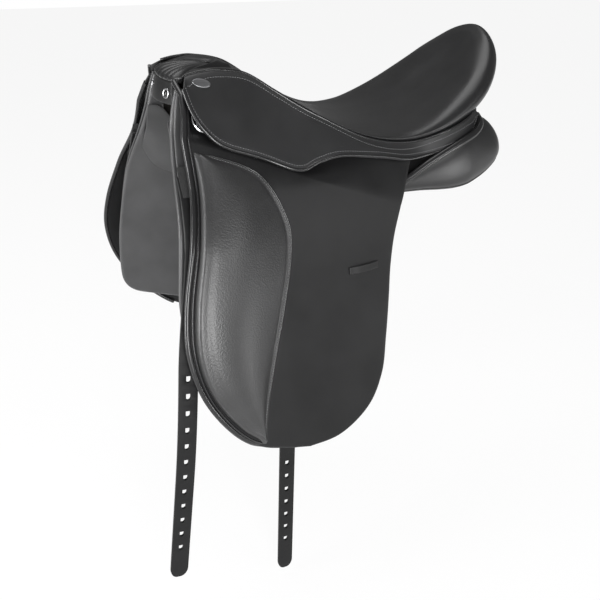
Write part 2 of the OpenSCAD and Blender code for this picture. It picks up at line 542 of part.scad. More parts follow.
// A strap turned up on itself at its fold, with its tip at the height end
module turned_profile(mid, top, fold, end) {
    y = strap_y(mid, fold, strap_in) + fold_in / 2;
    polygon(concat([for (z = steps(top, fold, 10)) [strap_y(mid, z, strap_in + strap_t), z]],
        [for (a = [200:20:340]) [y + (strap_t + fold_in / 2) * cos(a),
            fold + (strap_t + fold_in / 2) * sin(a)]],
        [for (z = steps(fold, end, 10)) [strap_y(mid, z, strap_in - fold_in - strap_t), z]],
        [for (z = steps(end, fold, 10)) [strap_y(mid, z, strap_in - fold_in), z]],
        [for (a = [340:-20:200]) [y + fold_in / 2 * cos(a), fold + fold_in / 2 * sin(a)]],
        [for (z = steps(fold, top, 10)) [strap_y(mid, z, strap_in), z]]));
}
module turned_strap(mid, top, fold, up, w, first, pitch, n) {
    difference() {
        intersection() {
            along_x() turned_profile(mid, top, fold, fold + up);
            along_y() strap_outline(mid, top, fold - 40, w);
        }
        for (i = [0:n - 1]) let (s = up - first - i * pitch, z = fold + abs(s), m = strap_y(mid, z,
            strap_in - fold_in / 2))
            translate([curve(mid, z), m + (s > 0 ? 0 : -20), z]) rotate([90, 0, 0]) translate([0, 0, -20])
                linear_extrude(20) hole();
    }
}

module tree_head() {
    color(wood) skin(arch_grid(head_from, head_to, crown_in, leg_t, leg_z), arch_grid(head_from,
        head_to, crown_out, 0, leg_z));
}
module rail(s) { color(wood) on(s) skin(rail_grid(1), rail_grid(0)); }
module tree_cantle() { color(wood) skin(board_grid(tree_t), board_grid(0)); }
module head_plate() {
    x = head_from - gap;
    color(steel) skin(arch_grid(x - plate_t, x, crown_in, leg_t - 1, plate_leg_z),
        arch_grid(x - plate_t, x, crown_out, 1, plate_leg_z));
}
module gullet_plate() {
    color(steel) skin(crown_grid(head_from + 3, head_to - 3, gap + plate_t + 0.5),
        crown_grid(head_from + 3, head_to - 3, gap + 0.5));
}
module spring(s) { color(steel) on(s) skin(spring_grid(plate_t), spring_grid(0)); }
module stirrup_bar(s) {
    color(steel) at_bar(s) difference() {
        union() {
            translate([-bar_l / 2 - 4, 0, -9]) cube([bar_l + 6, bar_base, 18]);
            translate([-bar_l / 2 - 4, 0, -bar_d / 2]) cube([8, bar_y, bar_d]);
            translate([-bar_l / 2 - 4, bar_y, 0]) rotate([0, 90, 0]) cylinder(d = bar_d, h = bar_l - 6);
            translate([bar_l / 2 - 14, bar_y - 4, -tongue_t / 2]) cube([14, 8, tongue_t]);
        }
        translate([catch_x, bar_y, -10]) cylinder(d = pin_d + 2 * run, h = 20);
    }
}
module bar_catch(s) {
    color(steel) at_bar(s) difference() {
        union() {
            translate([catch_x, bar_y, tongue_t / 2 + gap]) cylinder(d = pin_d + 5, h = catch_t);
            translate([catch_x, bar_y - 3, tongue_t / 2 + gap]) cube([10, 6, catch_t]);
        }
        translate([catch_x, bar_y, 0]) cylinder(d = pin_d + 2 * run, h = 20);
    }
}
module catch_pin(s) {
    color(steel) at_bar(s) translate([catch_x, bar_y, -tongue_t / 2 - 1]) cylinder(d = pin_d,
        h = tongue_t + catch_t + gap + 2);
}
module bar_rivets() {
    color(steel) for (s = [near, off]) at_bar(s) for (x = [-rivet_x, rivet_x])
        translate([x, bar_base + gap, 6.3]) rotate([-90, 0, 0]) cylinder(d1 = 5, d2 = 3.5, h = 1.5);
}
module seat_webs() { color([0.8, 0.77, 0.7]) skin(web_grid(web_t), web_grid(0)); }
module girth_web(s) {
    color([0.8, 0.77, 0.7]) on(s) {
        skin(girth_grid(-222, -168, 22, 52, 0), girth_grid(-222, -168, 22, 52, web_t));
        skin(girth_grid(-124, -98, 22, 64, 0), girth_grid(-124, -98, 22, 64, web_t));
    }
}
module seat_cover() { color(black) pan(seat_grid(cover_t), seat_grid(0)); }
module seat_foam() { color([0.85, 0.8, 0.6]) pan(foam_under_grid, seat_grid(foam_top)); }
module pommel_roll() { color(black) skin(pommel_grid(-roll_t, 0), pommel_grid(0, 2)); }
module pommel_facing() { color(black) skin(facing_grid(facing_t), facing_grid(0)); }
module head_nails() {
    color(steel) for (y = [-38, 38]) translate([nose_x - 3 - gap, y, pommel_z - 28]) rotate([0, -90,
        0]) intersection() {
        translate([0, 0, -nail_d / 4]) sphere(d = nail_d * 1.2);
        cylinder(d = nail_d, h = nail_d);
    }
}
module skirt_band(s) {
    color(black) on(s) skin(skirt_grid(0, 0, 12, 40, false), skirt_grid(skirt_t, 0, 12, 40, false));
}
module skirt(s) {
    color(black) on(s) skin(skirt_grid(0, lift_from, lift_to, 22, true), skirt_grid(skirt_t,
        lift_from, lift_to, 22, true));
}
module skirt_plate() {
    o = skirt_at(oval_u, oval_v) + [0, skirt_t, 0];
    e = unit(skirt_at(oval_u + 0.1, oval_v) + [0, skirt_t, 0] - o);
    n = unit(cross(e, skirt_at(oval_u, oval_v + 0.05) + [0, skirt_t, 0] - o));
    u = cross(e, n);
    color(steel) on(near) multmatrix([[e[0], u[0], n[0], o[0]], [e[1], u[1], n[1], o[1]], [e[2], u[2],
        n[2], o[2]]])
        translate([0, 0, 2 * gap]) scale([1, 0.52, 1]) cylinder(d = oval_l, h = 1.5);
}
module flap(s) { color(black) on(s) skin(flap_grid(0), flap_grid(flap_t)); }
module flap_head(s) { color(black) on(s) skin(head_grid(0), head_grid(flap_t)); }
module knee_pad(s) { color(black_soft) on(s) skin(knee_grid(0), knee_grid(1)); }
module keeper(s) { color(black) on(s) skin(keeper_grid(0), keeper_grid(keeper_t)); }
module dee(s) {
    color(steel) at_dee(s) {
        rotate_extrude(angle = 180) translate([dee_r, 0]) circle(d = dee_wire);
        rotate([0, 90, 0]) cylinder(d = dee_wire, h = 2 * dee_r, center = true);
        for (x = [-dee_r, dee_r]) translate([x, 0, 0]) sphere(d = dee_wire);
    }
}
module chape(s) {
    color(black) at_dee(s) difference() {
        union() {
            rotate([0, 90, 0]) cylinder(d = dee_wire + 4, h = 12, center = true);
            translate([-6, -15, 0]) cube([12, 15, 3]);
        }
        rotate([0, 90, 0]) cylinder(d = dee_wire + 2 * run, h = 20, center = true);
    }
}
module panel(s) { color(black_soft) on(s) loft([for (i = [0:len(panel_x) - 1]) panel_ring(i)]); }
module gusset_roll(s) { color(black) on(s) loft([for (i = [0:len(roll_x) - 1]) roll_ring(i)]); }
module panel_flap(s) {
    color(black_soft) on(s) skin(sheet_grid(lining_front, lining_rear, -lining_in - lining_t),
        sheet_grid(lining_front, lining_rear, -lining_in));
}
module sweat_flap(s) {
    color(black) on(s) skin(sheet_grid(sweat_front, sweat_rear, -sweat_in - sweat_t),
        sheet_grid(sweat_front, sweat_rear, -sweat_in));
}
module front_strap(s) {
    color(black) on(s) if (s == near)
        hung_strap(front_mid, front_top_z, front_tip_z, front_strap_w, front_first, front_pitch, front_n);
    else
        turned_strap(tucked_mid, front_top_z, front_fold, front_up, front_strap_w, front_first,
            front_pitch, front_n);
}
module rear_strap(s) {
    color(black) on(s) if (s == near)
        hung_strap(rear_mid, rear_top_z, rear_tip_z, rear_strap_w, rear_first, rear_pitch, rear_n);
    else
        turned_strap(rear_mid, rear_top_z, rear_fold, rear_up, rear_strap_w, rear_first, rear_pitch,
            rear_n);
}

tree_head();
rail(near);  // near_rail
rail(off);  // off_rail
tree_cantle();
head_plate();
gullet_plate();
spring(near);  // near_spring
spring(off);  // off_spring
stirrup_bar(near);  // near_stirrup_bar
stirrup_bar(off);  // off_stirrup_bar
bar_catch(near);  // near_bar_catch
bar_catch(off);  // off_bar_catch
catch_pin(near);  // near_catch_pin
catch_pin(off);  // off_catch_pin
bar_rivets();
seat_webs();
girth_web(near);  // near_girth_web
girth_web(off);  // off_girth_web
seat_foam();
seat_cover();
pommel_roll();
pommel_facing();
head_nails();
skirt_band(near);  // near_skirt_band
skirt_band(off);  // off_skirt_band
skirt(near);  // near_skirt
skirt(off);  // off_skirt
skirt_plate();
flap_head(near);  // near_flap_head
flap_head(off);  // off_flap_head
flap(near);  // near_flap
flap(off);  // off_flap
knee_pad(near);  // near_knee_pad
knee_pad(off);  // off_knee_pad
keeper(near);  // near_keeper
keeper(off);  // off_keeper
dee(near);  // near_dee
dee(off);  // off_dee
chape(near);  // near_chape
chape(off);  // off_chape
panel(near);  // near_panel
panel(off);  // off_panel
gusset_roll(near);  // near_gusset_roll
gusset_roll(off);  // off_gusset_roll
panel_flap(near);  // near_panel_flap
panel_flap(off);  // off_panel_flap
sweat_flap(near);  // near_sweat_flap
sweat_flap(off);  // off_sweat_flap
front_strap(near);  // near_front_strap
front_strap(off);  // off_front_strap
rear_strap(near);  // near_rear_strap
rear_strap(off);  // off_rear_strap
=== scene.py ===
import math

import bmesh
import bpy
import numpy as np
from mathutils import Matrix, Vector, kdtree


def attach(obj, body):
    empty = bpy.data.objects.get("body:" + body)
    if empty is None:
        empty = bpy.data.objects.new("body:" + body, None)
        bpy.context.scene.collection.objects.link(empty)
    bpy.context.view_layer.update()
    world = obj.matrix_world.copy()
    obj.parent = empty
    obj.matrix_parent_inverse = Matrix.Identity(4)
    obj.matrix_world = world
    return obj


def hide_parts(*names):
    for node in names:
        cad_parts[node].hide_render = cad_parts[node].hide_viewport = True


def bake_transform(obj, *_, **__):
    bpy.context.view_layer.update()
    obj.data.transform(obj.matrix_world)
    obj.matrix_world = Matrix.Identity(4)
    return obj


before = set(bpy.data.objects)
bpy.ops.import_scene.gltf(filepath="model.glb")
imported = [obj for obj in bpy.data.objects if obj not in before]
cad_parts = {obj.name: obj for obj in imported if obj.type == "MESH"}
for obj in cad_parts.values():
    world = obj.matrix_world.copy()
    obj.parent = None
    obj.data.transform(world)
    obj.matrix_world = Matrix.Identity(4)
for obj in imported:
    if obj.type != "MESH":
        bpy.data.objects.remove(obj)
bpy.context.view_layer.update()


# The tree: a laminated wooden head, two rails and a cantle board, glued and pinned, with a steel head plate,
# gullet plate and two flat springs riveted on. The leather hides it, apart from glimpses from below.
def new_finish(name):
    finish = bpy.data.materials.new(name)
    finish.use_nodes = True
    return finish, finish.node_tree, finish.node_tree.nodes["Principled BSDF"]


def feed(tree, node, inputs):
    for key, value in inputs.items():
        if isinstance(value, bpy.types.NodeSocket):
            tree.links.new(value, node.inputs[key])
        else:
            node.inputs[key].default_value = value


def add_node(tree, kind, inputs=None, **settings):
    made = tree.nodes.new(kind)
    for key, value in settings.items():
        setattr(made, key, value)
    feed(tree, made, inputs or {})
    return made


def stretched_place(tree, scale):
    place = add_node(tree, "ShaderNodeTexCoord").outputs["Object"]
    return add_node(tree, "ShaderNodeMapping", {"Vector": place, "Scale": scale}).outputs["Vector"]


def two_tones(tree, factor, dark, light):
    ramp = add_node(tree, "ShaderNodeValToRGB", {"Fac": factor})
    first, second = ramp.color_ramp.elements
    first.position, first.color = 0.3, (*dark, 1)
    second.position, second.color = 0.7, (*light, 1)
    return ramp.outputs["Color"]


def bumps(tree, height, distance, strength=1.0):
    bump = add_node(tree, "ShaderNodeBump", {"Height": height, "Distance": distance, "Strength": strength})
    return bump.outputs["Normal"]


# Painted shade: the varnish is near black, a real finish, and is also kept this dark so that glimpses of the wood
# between the parts read as the shade there.
def wood():
    finish, tree, shader = new_finish("black_varnished_wood_painted_shade")
    grain = add_node(tree, "ShaderNodeTexNoise", {"Vector": stretched_place(tree, (12, 260, 260)), "Scale": 1.0,
                                                  "Detail": 8.0, "Roughness": 0.65}).outputs["Fac"]
    feed(tree, shader, {"Base Color": two_tones(tree, grain, (0.008, 0.007, 0.006), (0.018, 0.015, 0.012)),
                        "Roughness": 0.55, "Normal": bumps(tree, grain, 0.0004)})
    return finish


def steel(name, tone, smooth, rough):
    finish, tree, shader = new_finish(name)
    marks = add_node(tree, "ShaderNodeTexNoise", {"Vector": stretched_place(tree, (60, 900, 900)), "Scale": 1.0,
                                                  "Detail": 4.0}).outputs["Fac"]
    wear = add_node(tree, "ShaderNodeMapRange", {"Value": marks, "To Min": smooth, "To Max": rough})
    feed(tree, shader, {"Base Color": two_tones(tree, marks, [c * 0.9 for c in tone], tone),
                        "Roughness": wear.outputs["Result"], "Metallic": 1.0})
    return finish


def dress(nodes, finish):
    for name in nodes:
        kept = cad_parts[name]
        kept.data.materials.clear()
        kept.data.materials.append(finish)


dress(["tree_head", "near_rail", "off_rail", "tree_cantle"], wood())
# Painted shade: the head plate, gullet plate and springs are blackened, a real finish, and are also kept this dark so
# that glimpses of them between the parts read as shade.
black_steel_painted_shade = steel("black_steel_painted_shade", (0.05, 0.05, 0.052), 0.4, 0.55)
dress(["head_plate", "gullet_plate", "near_spring", "off_spring"], black_steel_painted_shade)

# The stirrup bars: forged steel bars riveted through the rails, each with a thumb catch on a pin at its open end.
# They are polished, as the dees on the front of the tree are.
bright_steel = steel("polished_steel", (0.82, 0.83, 0.84), 0.1, 0.2)
dress(["near_stirrup_bar", "off_stirrup_bar", "near_bar_catch", "off_bar_catch", "near_catch_pin", "off_catch_pin",
       "bar_rivets", "near_dee", "off_dee"], bright_steel)

# The webs: flat woven linen, one strained from head to cantle to carry the seat, and short ones over the tree
# that the girth straps are sewn to.
WEB_EDGE = 0.0004


def web(name, dark, light):
    finish, tree, shader = new_finish(name)
    place = add_node(tree, "ShaderNodeTexCoord").outputs["Object"]
    warp, weft = (add_node(tree, "ShaderNodeTexWave", {"Vector": place, "Scale": 260.0, "Distortion": 0.6},
                           bands_direction=axis).outputs["Fac"] for axis in "XZ")
    weave = add_node(tree, "ShaderNodeMath", {0: warp, 1: weft}, operation="MULTIPLY").outputs["Value"]
    feed(tree, shader, {"Base Color": two_tones(tree, weave, dark, light), "Roughness": 0.85,
                        "Normal": bumps(tree, weave, 0.0005)})
    return finish


def as_piece(name, mesh, *finishes):
    piece = bpy.data.objects.new(name, mesh)
    bpy.context.scene.collection.objects.link(piece)
    for finish in finishes:
        mesh.materials.append(finish)
    for face in mesh.polygons:
        face.use_smooth = True
    return piece


def rounded_copy(name, nodes, finish):
    shape = bmesh.new()
    for node in nodes:
        shape.from_mesh(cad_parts[node].data)
    bmesh.ops.remove_doubles(shape, verts=shape.verts, dist=1e-5)
    bmesh.ops.dissolve_limit(shape, angle_limit=0.02, verts=shape.verts, edges=shape.edges)
    sharp = [e for e in shape.edges if len(e.link_faces) == 2 and e.calc_face_angle(0) > 0.8]
    bmesh.ops.bevel(shape, geom=sharp, offset=WEB_EDGE, segments=2, affect="EDGES", profile=0.5, clamp_overlap=True)
    mesh = bpy.data.meshes.new(name)
    shape.to_mesh(mesh)
    shape.free()
    return as_piece(name, mesh, finish)


linen_web = web("linen_web", (0.42, 0.39, 0.32), (0.66, 0.62, 0.53))
black_web = web("black_web", (0.012, 0.012, 0.012), (0.035, 0.035, 0.036))
for name, nodes, finish in (("seat_webbing", ["seat_webs"], linen_web),
                            ("girth_webbing", ["near_girth_web", "off_girth_web"], black_web)):
    webbing = rounded_copy(name, nodes, finish)
    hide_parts(*nodes)
    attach(webbing, "saddle")

# The seat: soft black leather drawn over foam from the pommel to the cantle and sewn to the skirts along its
# lower edge, so that it swells just above that seam.
MM = 0.001


def leather(name, tone, gloss, grain, depth, worn=0.5, shine=0.5):
    finish, tree, shader = new_finish(name)
    place = add_node(tree, "ShaderNodeTexCoord").outputs["Object"]
    clouds = add_node(tree, "ShaderNodeTexNoise", {"Vector": place, "Scale": 22.0, "Detail": 3.0}).outputs["Fac"]
    pebbles = add_node(tree, "ShaderNodeTexVoronoi", {"Vector": place, "Scale": grain, "Smoothness": 0.6},
                       feature="SMOOTH_F1").outputs["Distance"]
    pores = add_node(tree, "ShaderNodeTexNoise", {"Vector": place, "Scale": grain * 2.2, "Detail": 3.0}).outputs["Fac"]
    hide = two_tones(tree, clouds, [c * 0.82 for c in tone], [c * 1.18 for c in tone])
    edge = add_node(tree, "ShaderNodeAttribute", attribute_name="edge").outputs["Fac"]
    share = add_node(tree, "ShaderNodeMath", {0: edge, 1: 0.7 * worn}, operation="MULTIPLY").outputs["Value"]
    pale = (*[c + 0.03 * worn for c in tone], 1)
    rubbed = add_node(tree, "ShaderNodeMix", {"Factor": share, "A": hide, "B": pale}, data_type="RGBA")
    polish = add_node(tree, "ShaderNodeMapRange", {"Value": clouds, "To Min": gloss - 0.04, "To Max": gloss + 0.06})
    skin = add_node(tree, "ShaderNodeMath", {0: pores, 1: 0.35, 2: pebbles}, operation="MULTIPLY_ADD")
    feed(tree, shader, {"Base Color": rubbed.outputs["Result"], "Roughness": polish.outputs["Result"],
                        "Specular IOR Level": shine, "Normal": bumps(tree, skin.outputs["Value"], depth, 0.8)})
    return finish


def ease(t):
    c = np.clip(t, 0, 1)
    return c * c * (3 - 2 * c)


def hermite(a, b, slope_a, slope_b, t):
    return a + t * (slope_a + t * (3 * (b - a) - 2 * slope_a - slope_b + t * (2 * (a - b) + slope_a + slope_b)))


def along(points, u):
    p, u = np.asarray(points, float), np.asarray(u, float)
    n = len(p) - 1
    i = np.clip(np.floor(u).astype(int), 0, n - 1)
    before, after = p[np.maximum(i - 1, 0)], p[np.minimum(i + 2, n)]
    t = (u - i).reshape(u.shape + (1,) * (p.ndim - 1))
    return hermite(p[i], p[i + 1], (p[i + 1] - before) / 2, (after - p[i]) / 2, t)


def around(points, u):
    p, u = np.asarray(points, float), np.asarray(u, float)
    n = len(p)
    i = np.floor(u).astype(int) % n
    a, b, before, after = p[i], p[(i + 1) % n], p[i - 1], p[(i + 2) % n]
    return hermite(a, b, (b - before) / 2, (after - a) / 2, (u - np.floor(u))[..., None])


def curve(points, x):
    p, x = np.asarray(points, float), np.asarray(x, float)
    n = len(p) - 1
    slope = np.array([(p[min(n, i + 1), 1] - p[max(0, i - 1), 1]) / (p[min(n, i + 1), 0] - p[max(0, i - 1), 0])
                      for i in range(n + 1)])
    i = np.clip(np.searchsorted(p[:, 0], x, side="right") - 1, 0, n - 1)
    h = p[i + 1, 0] - p[i, 0]
    return hermite(p[i, 1], p[i + 1, 1], slope[i] * h, slope[i + 1] * h, np.clip((x - p[i, 0]) / h, 0, 1))


def from_grid(name, grid, finish, closed=False, doubles=1e-6):
    rows, cols = grid.shape[:2]
    last = cols if closed else cols - 1
    faces = [(r * cols + c, r * cols + (c + 1) % cols, (r + 1) * cols + (c + 1) % cols, (r + 1) * cols + c)
             for r in range(rows - 1) for c in range(last)]
    shape = bmesh.new()
    points = [shape.verts.new(p) for p in grid.reshape(-1, 3) * MM]
    for face in faces:
        shape.faces.new([points[i] for i in face])
    bmesh.ops.remove_doubles(shape, verts=shape.verts, dist=doubles)
    bmesh.ops.recalc_face_normals(shape, faces=shape.faces)
    mesh = bpy.data.meshes.new(name)
    shape.to_mesh(mesh)
    shape.free()
    return as_piece(name, mesh, finish)


def places(piece):
    co = np.empty(len(piece.data.vertices) * 3)
    piece.data.vertices.foreach_get("co", co)
    return co.reshape(-1, 3)


def calmed(piece, share, times):
    p = places(piece)
    ends = np.empty(len(piece.data.edges) * 2, int)
    piece.data.edges.foreach_get("vertices", ends)
    a, b = ends.reshape(-1, 2).T
    count = np.bincount(ends, minlength=len(p))[:, None]
    weight = 0.6 * share(p / MM)[:, None]
    for _ in range(times):
        total = np.zeros_like(p)
        np.add.at(total, a, p[b])
        np.add.at(total, b, p[a])
        p += weight * (total / count - p)
    piece.data.vertices.foreach_set("co", p.ravel())
    piece.data.update()


def finder(points):
    found = kdtree.KDTree(len(points))
    for i, p in enumerate(points):
        found.insert(p, i)
    found.balance()
    return found


def swell(piece, held, pressure, reach, steps=14):
    before = places(piece)
    seam = piece.vertex_groups.new(name="seam")
    seam.add([int(i) for i in np.flatnonzero(held)], 1.0, "REPLACE")
    stuffing = piece.modifiers.new("stuffing", "CLOTH")
    for key, value in (("vertex_group_mass", "seam"), ("quality", 5), ("use_pressure", True),
                       ("uniform_pressure_force", pressure), ("tension_stiffness", 12),
                       ("compression_stiffness", 12), ("bending_stiffness", 1.5)):
        setattr(stuffing.settings, key, value)
    stuffing.settings.effector_weights.gravity = 0
    stuffing.collision_settings.use_collision = False
    stuffing.point_cache.frame_end = steps
    for step in range(1, steps + 1):
        bpy.context.scene.frame_set(step)
    swollen = piece.evaluated_get(bpy.context.evaluated_depsgraph_get()).to_mesh()
    after = np.empty(len(swollen.vertices) * 3)
    swollen.vertices.foreach_get("co", after)
    move = after.reshape(-1, 3) - before
    size = np.linalg.norm(move, axis=1)
    move *= np.minimum(1, reach / np.maximum(size, 1e-9))[:, None]
    piece.modifiers.remove(stuffing)
    piece.vertex_groups.remove(seam)
    bpy.context.scene.frame_set(1)
    piece.data.vertices.foreach_set("co", (before + move).ravel())
    piece.data.update()


SEAT_Z, POMMEL_Z = 75, 156
COVER_T, FOAM_T = 3, 8
seat_top = [(-140, POMMEL_Z - 1), (-122, POMMEL_Z - 5)]
seat_top += [(x, SEAT_Z + (POMMEL_Z - SEAT_Z) * t) for x, t in (
    (-105, 0.79), (-85, 0.61), (-60, 0.42), (-30, 0.22), (0, 0.085), (30, 0.02))]
welt_half = [(-140, 0, 150), (-163, 23, 149), (-188, 41, 146.5), (-152, 46, 152), (-112, 43, 144.5),
             (-72, 53, 120), (-20, 77, 89.5), (37, 97, 62.5), (94, 112, 55.5), (150, 116, 67.5), (205, 95, 82),
             (240, 52, 90), (252, 0, 94)]
bulge_half = [(-137, 0, 152), (-159, 22, 151), (-184, 40, 148), (-151, 47, 153), (-112, 44, 145.5), (-72, 55, 122),
              (-20, 79, 91), (37, 100, 65.5), (94, 116, 60.5), (152, 120, 76), (217, 105, 110), (260, 62, 147),
              (275, 0, 160)]
rim_half = [(-132, 0, 154), (-154, 20, 152.5), (-176, 35, 150), (-150, 40, 152.5), (-112, 38, 146), (-71, 47, 121),
            (-21, 69, 89.5), (36, 91, 66), (93, 107, 65), (148, 111, 83), (210, 100, 121), (249, 60, 163),
            (262, 0, 183.5)]
spine_half = [(x, 0, float(curve(seat_top, x))) for x in (-116, -114, -110, -105, -92, -60, -22)]
spine_half += [(30, 0, 69), (85, 0, 64.5), (138, 0, 76), (185, 0, 103), (215, 0, 130), (228, 0, 144)]
fall = (0.5, 0.5, 0.5, 0.5, 0.5, 0.3, 0.3, 0.35, 0.35, 0.4, 0.75, 0.7, 0.52)
mid_half = [tuple(np.array(a) + (np.array(b) - a) * (0.55, 0.55, f)) for a, b, f in zip(spine_half, rim_half, fall)]
seat_loops = [half + [(x, -y, z) for x, y, z in half[-2:0:-1]]
              for half in (spine_half, mid_half, rim_half, bulge_half, welt_half)]
spine_line = [(x, z) for x, y, z in spine_half]
SPINE_FRONT, SPINE_END = spine_line[0][0], spine_line[-1][0]


def even_spline(rings, rows):
    step = rings[1] - rings[0]
    flank = np.abs(step[:, 1]) / np.maximum(np.linalg.norm(step[:, :2], axis=1), 1e-6)
    back = np.clip(rings[0][:, 0] - step[:, 0], SPINE_FRONT, SPINE_END)
    fall = step[:, 2] * flank + (curve(spine_line, back) - curve(spine_line, rings[0][:, 0])) * (1 - flank)
    ghost = np.stack([rings[0][:, 0] - step[:, 0], -step[:, 1], rings[0][:, 2] + fall], -1)
    p = np.concatenate([ghost[None], rings])
    gaps = np.linalg.norm(np.diff(p, axis=0), axis=2) ** 0.6
    knots = np.concatenate([np.zeros((1, p.shape[1])), np.cumsum(gaps, 0)])
    n = len(p)
    made = np.empty((rows, p.shape[1], 3))
    for c in range(p.shape[1]):
        k, h = knots[:, c], np.diff(knots[:, c])
        system, load = np.eye(n), np.zeros((n, 3))
        for i in range(1, n - 1):
            system[i, i - 1:i + 2] = h[i - 1], 2 * (h[i - 1] + h[i]), h[i]
            load[i] = 6 * ((p[i + 1, c] - p[i, c]) / h[i] - (p[i, c] - p[i - 1, c]) / h[i - 1])
        m = np.linalg.solve(system, load)
        at = k[1] + (k[-1] - k[1]) * np.linspace(0, 1, rows)
        i = np.clip(np.searchsorted(k, at, side="right") - 1, 1, n - 2)
        a, b, w = (k[i + 1] - at)[:, None], (at - k[i])[:, None], h[i][:, None]
        made[:, c] = ((m[i] * a ** 3 + m[i + 1] * b ** 3) / (6 * w)
                      + (p[i, c] / w - m[i] * w / 6) * a + (p[i + 1, c] / w - m[i + 1] * w / 6) * b)
    return made


POINTS, STEPS, ROWS = len(seat_loops[0]), 9, 65
turns = np.arange(POINTS * STEPS) / STEPS
cover = even_spline(np.array([around(loop, turns) for loop in seat_loops]), ROWS)
for _ in range(12):
    calm = (cover[:-2, :] + cover[2:, :] + np.roll(cover, 1, 1)[1:-1] + np.roll(cover, -1, 1)[1:-1]) / 4
    cover[1:-1] += 0.5 * ease((np.arange(1, ROWS - 1) - 4) / 14)[:, None, None] * (calm - cover[1:-1])
cover[0, :, 1] = 0
spine_low = cover[0] - (0, 0, COVER_T + FOAM_T)
under = [cover[-1] + (spine_low - cover[-1]) * t for t in np.linspace(0.04, 1, 10)]
PUCKER_H = 0.7
beside = np.minimum(turns, POINTS - turns) - 2
puckers = np.exp(-(beside / 0.4) ** 2) * np.sin(beside * 26)
cover[..., 2] += PUCKER_H * puckers * ease((np.linspace(0, 4, ROWS) - 2.4) / 1.2)[:, None]
soft_leather = leather("soft_leather", (0.0095, 0.0095, 0.0099), 0.34, 900.0, 0.00008, worn=0.2)
seat = from_grid("seat", np.concatenate([cover, under]), soft_leather, closed=True, doubles=2e-5)
calmed(seat, lambda p: ease((p[:, 2] - curve(spine_line, np.clip(p[:, 0], SPINE_FRONT, SPINE_END)) + 10) / 4)
       * ease(1.7 - np.abs(p[:, 1]) / 52) * ease((254 - p[:, 0]) / 22) * ease((p[:, 0] + 126) / 24), 60)
nearest = finder(cover[-1] * MM)
sewn = np.array([nearest.find(v.co)[2] < 0.006 for v in seat.data.vertices])
swell(seat, sewn, 0.6, 0.0025)
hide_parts("seat_cover", "seat_foam")
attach(seat, "saddle")

# The pommel: soft leather gathered over the head of the tree, in pleats that fan out from the front point of the
# seat's seam, with a firm leather facing below it that closes the front arch, held by a domed nail on each side.
NOSE_X, POMMEL_HW = -209, 41
FAN_X, PLEATS, PLEAT_H = -143, 14, 2.8
ROLL_IN = 6.5
firm_leather = leather("firm_leather", (0.006, 0.006, 0.0062), 0.46, 1300.0, 0.00004, shine=0.3)


def closed_up(mesh):
    shape = bmesh.new()
    shape.from_mesh(mesh)
    bmesh.ops.holes_fill(shape, edges=[e for e in shape.edges if e.is_boundary])
    bmesh.ops.recalc_face_normals(shape, faces=shape.faces)
    shape.to_mesh(mesh)
    shape.free()


def pommel_front(t):
    return np.stack([NOSE_X + 5 * t * t, (POMMEL_HW - 4) * t, POMMEL_Z - 19 + t * t], -1)


def pommel_place(t, w, rise):
    turn = math.pi / 2 * w
    seam = np.stack([-145 - 46 * np.abs(t) ** 1.5, (POMMEL_HW - 1) * t, POMMEL_Z - 6 - 3 * t * t - 5 * t ** 6], -1)
    front = pommel_front(t)
    x = seam[..., 0] + (front[..., 0] - seam[..., 0]) * np.sin(turn)
    y = seam[..., 1] + (front[..., 1] - seam[..., 1]) * w
    z = front[..., 2] + (seam[..., 2] - front[..., 2]) * np.cos(turn)
    return np.stack([x - np.sin(turn) * rise, y, z + np.cos(turn) * rise], -1)


across, over = np.meshgrid(np.linspace(-1, 1, 121), np.linspace(0, 1, 73))
lying = pommel_place(across, over, 0 * over)
ahead, aside = FAN_X - lying[..., 0], lying[..., 1]
fan = np.arctan2(aside, np.maximum(ahead, 1))
free = ease(np.hypot(ahead, aside) / 40) * (1 - across ** 8) * (1 - 0.8 * over ** 6)
pleated = PLEAT_H * (np.abs(np.sin(PLEATS * fan)) ** 0.7 - 0.3) * free + 1.5 * np.sin(math.pi * over)
rolls = np.concatenate([pommel_place(across, over, pleated), pommel_place(across, over, -ROLL_IN)[::-1]])
pommel_rolls = from_grid("pommel_rolls", np.concatenate([rolls, rolls[:1]]), soft_leather)
closed_up(pommel_rolls.data)
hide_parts("pommel_roll")
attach(pommel_rolls, "saddle")

RUBBED_W = 4


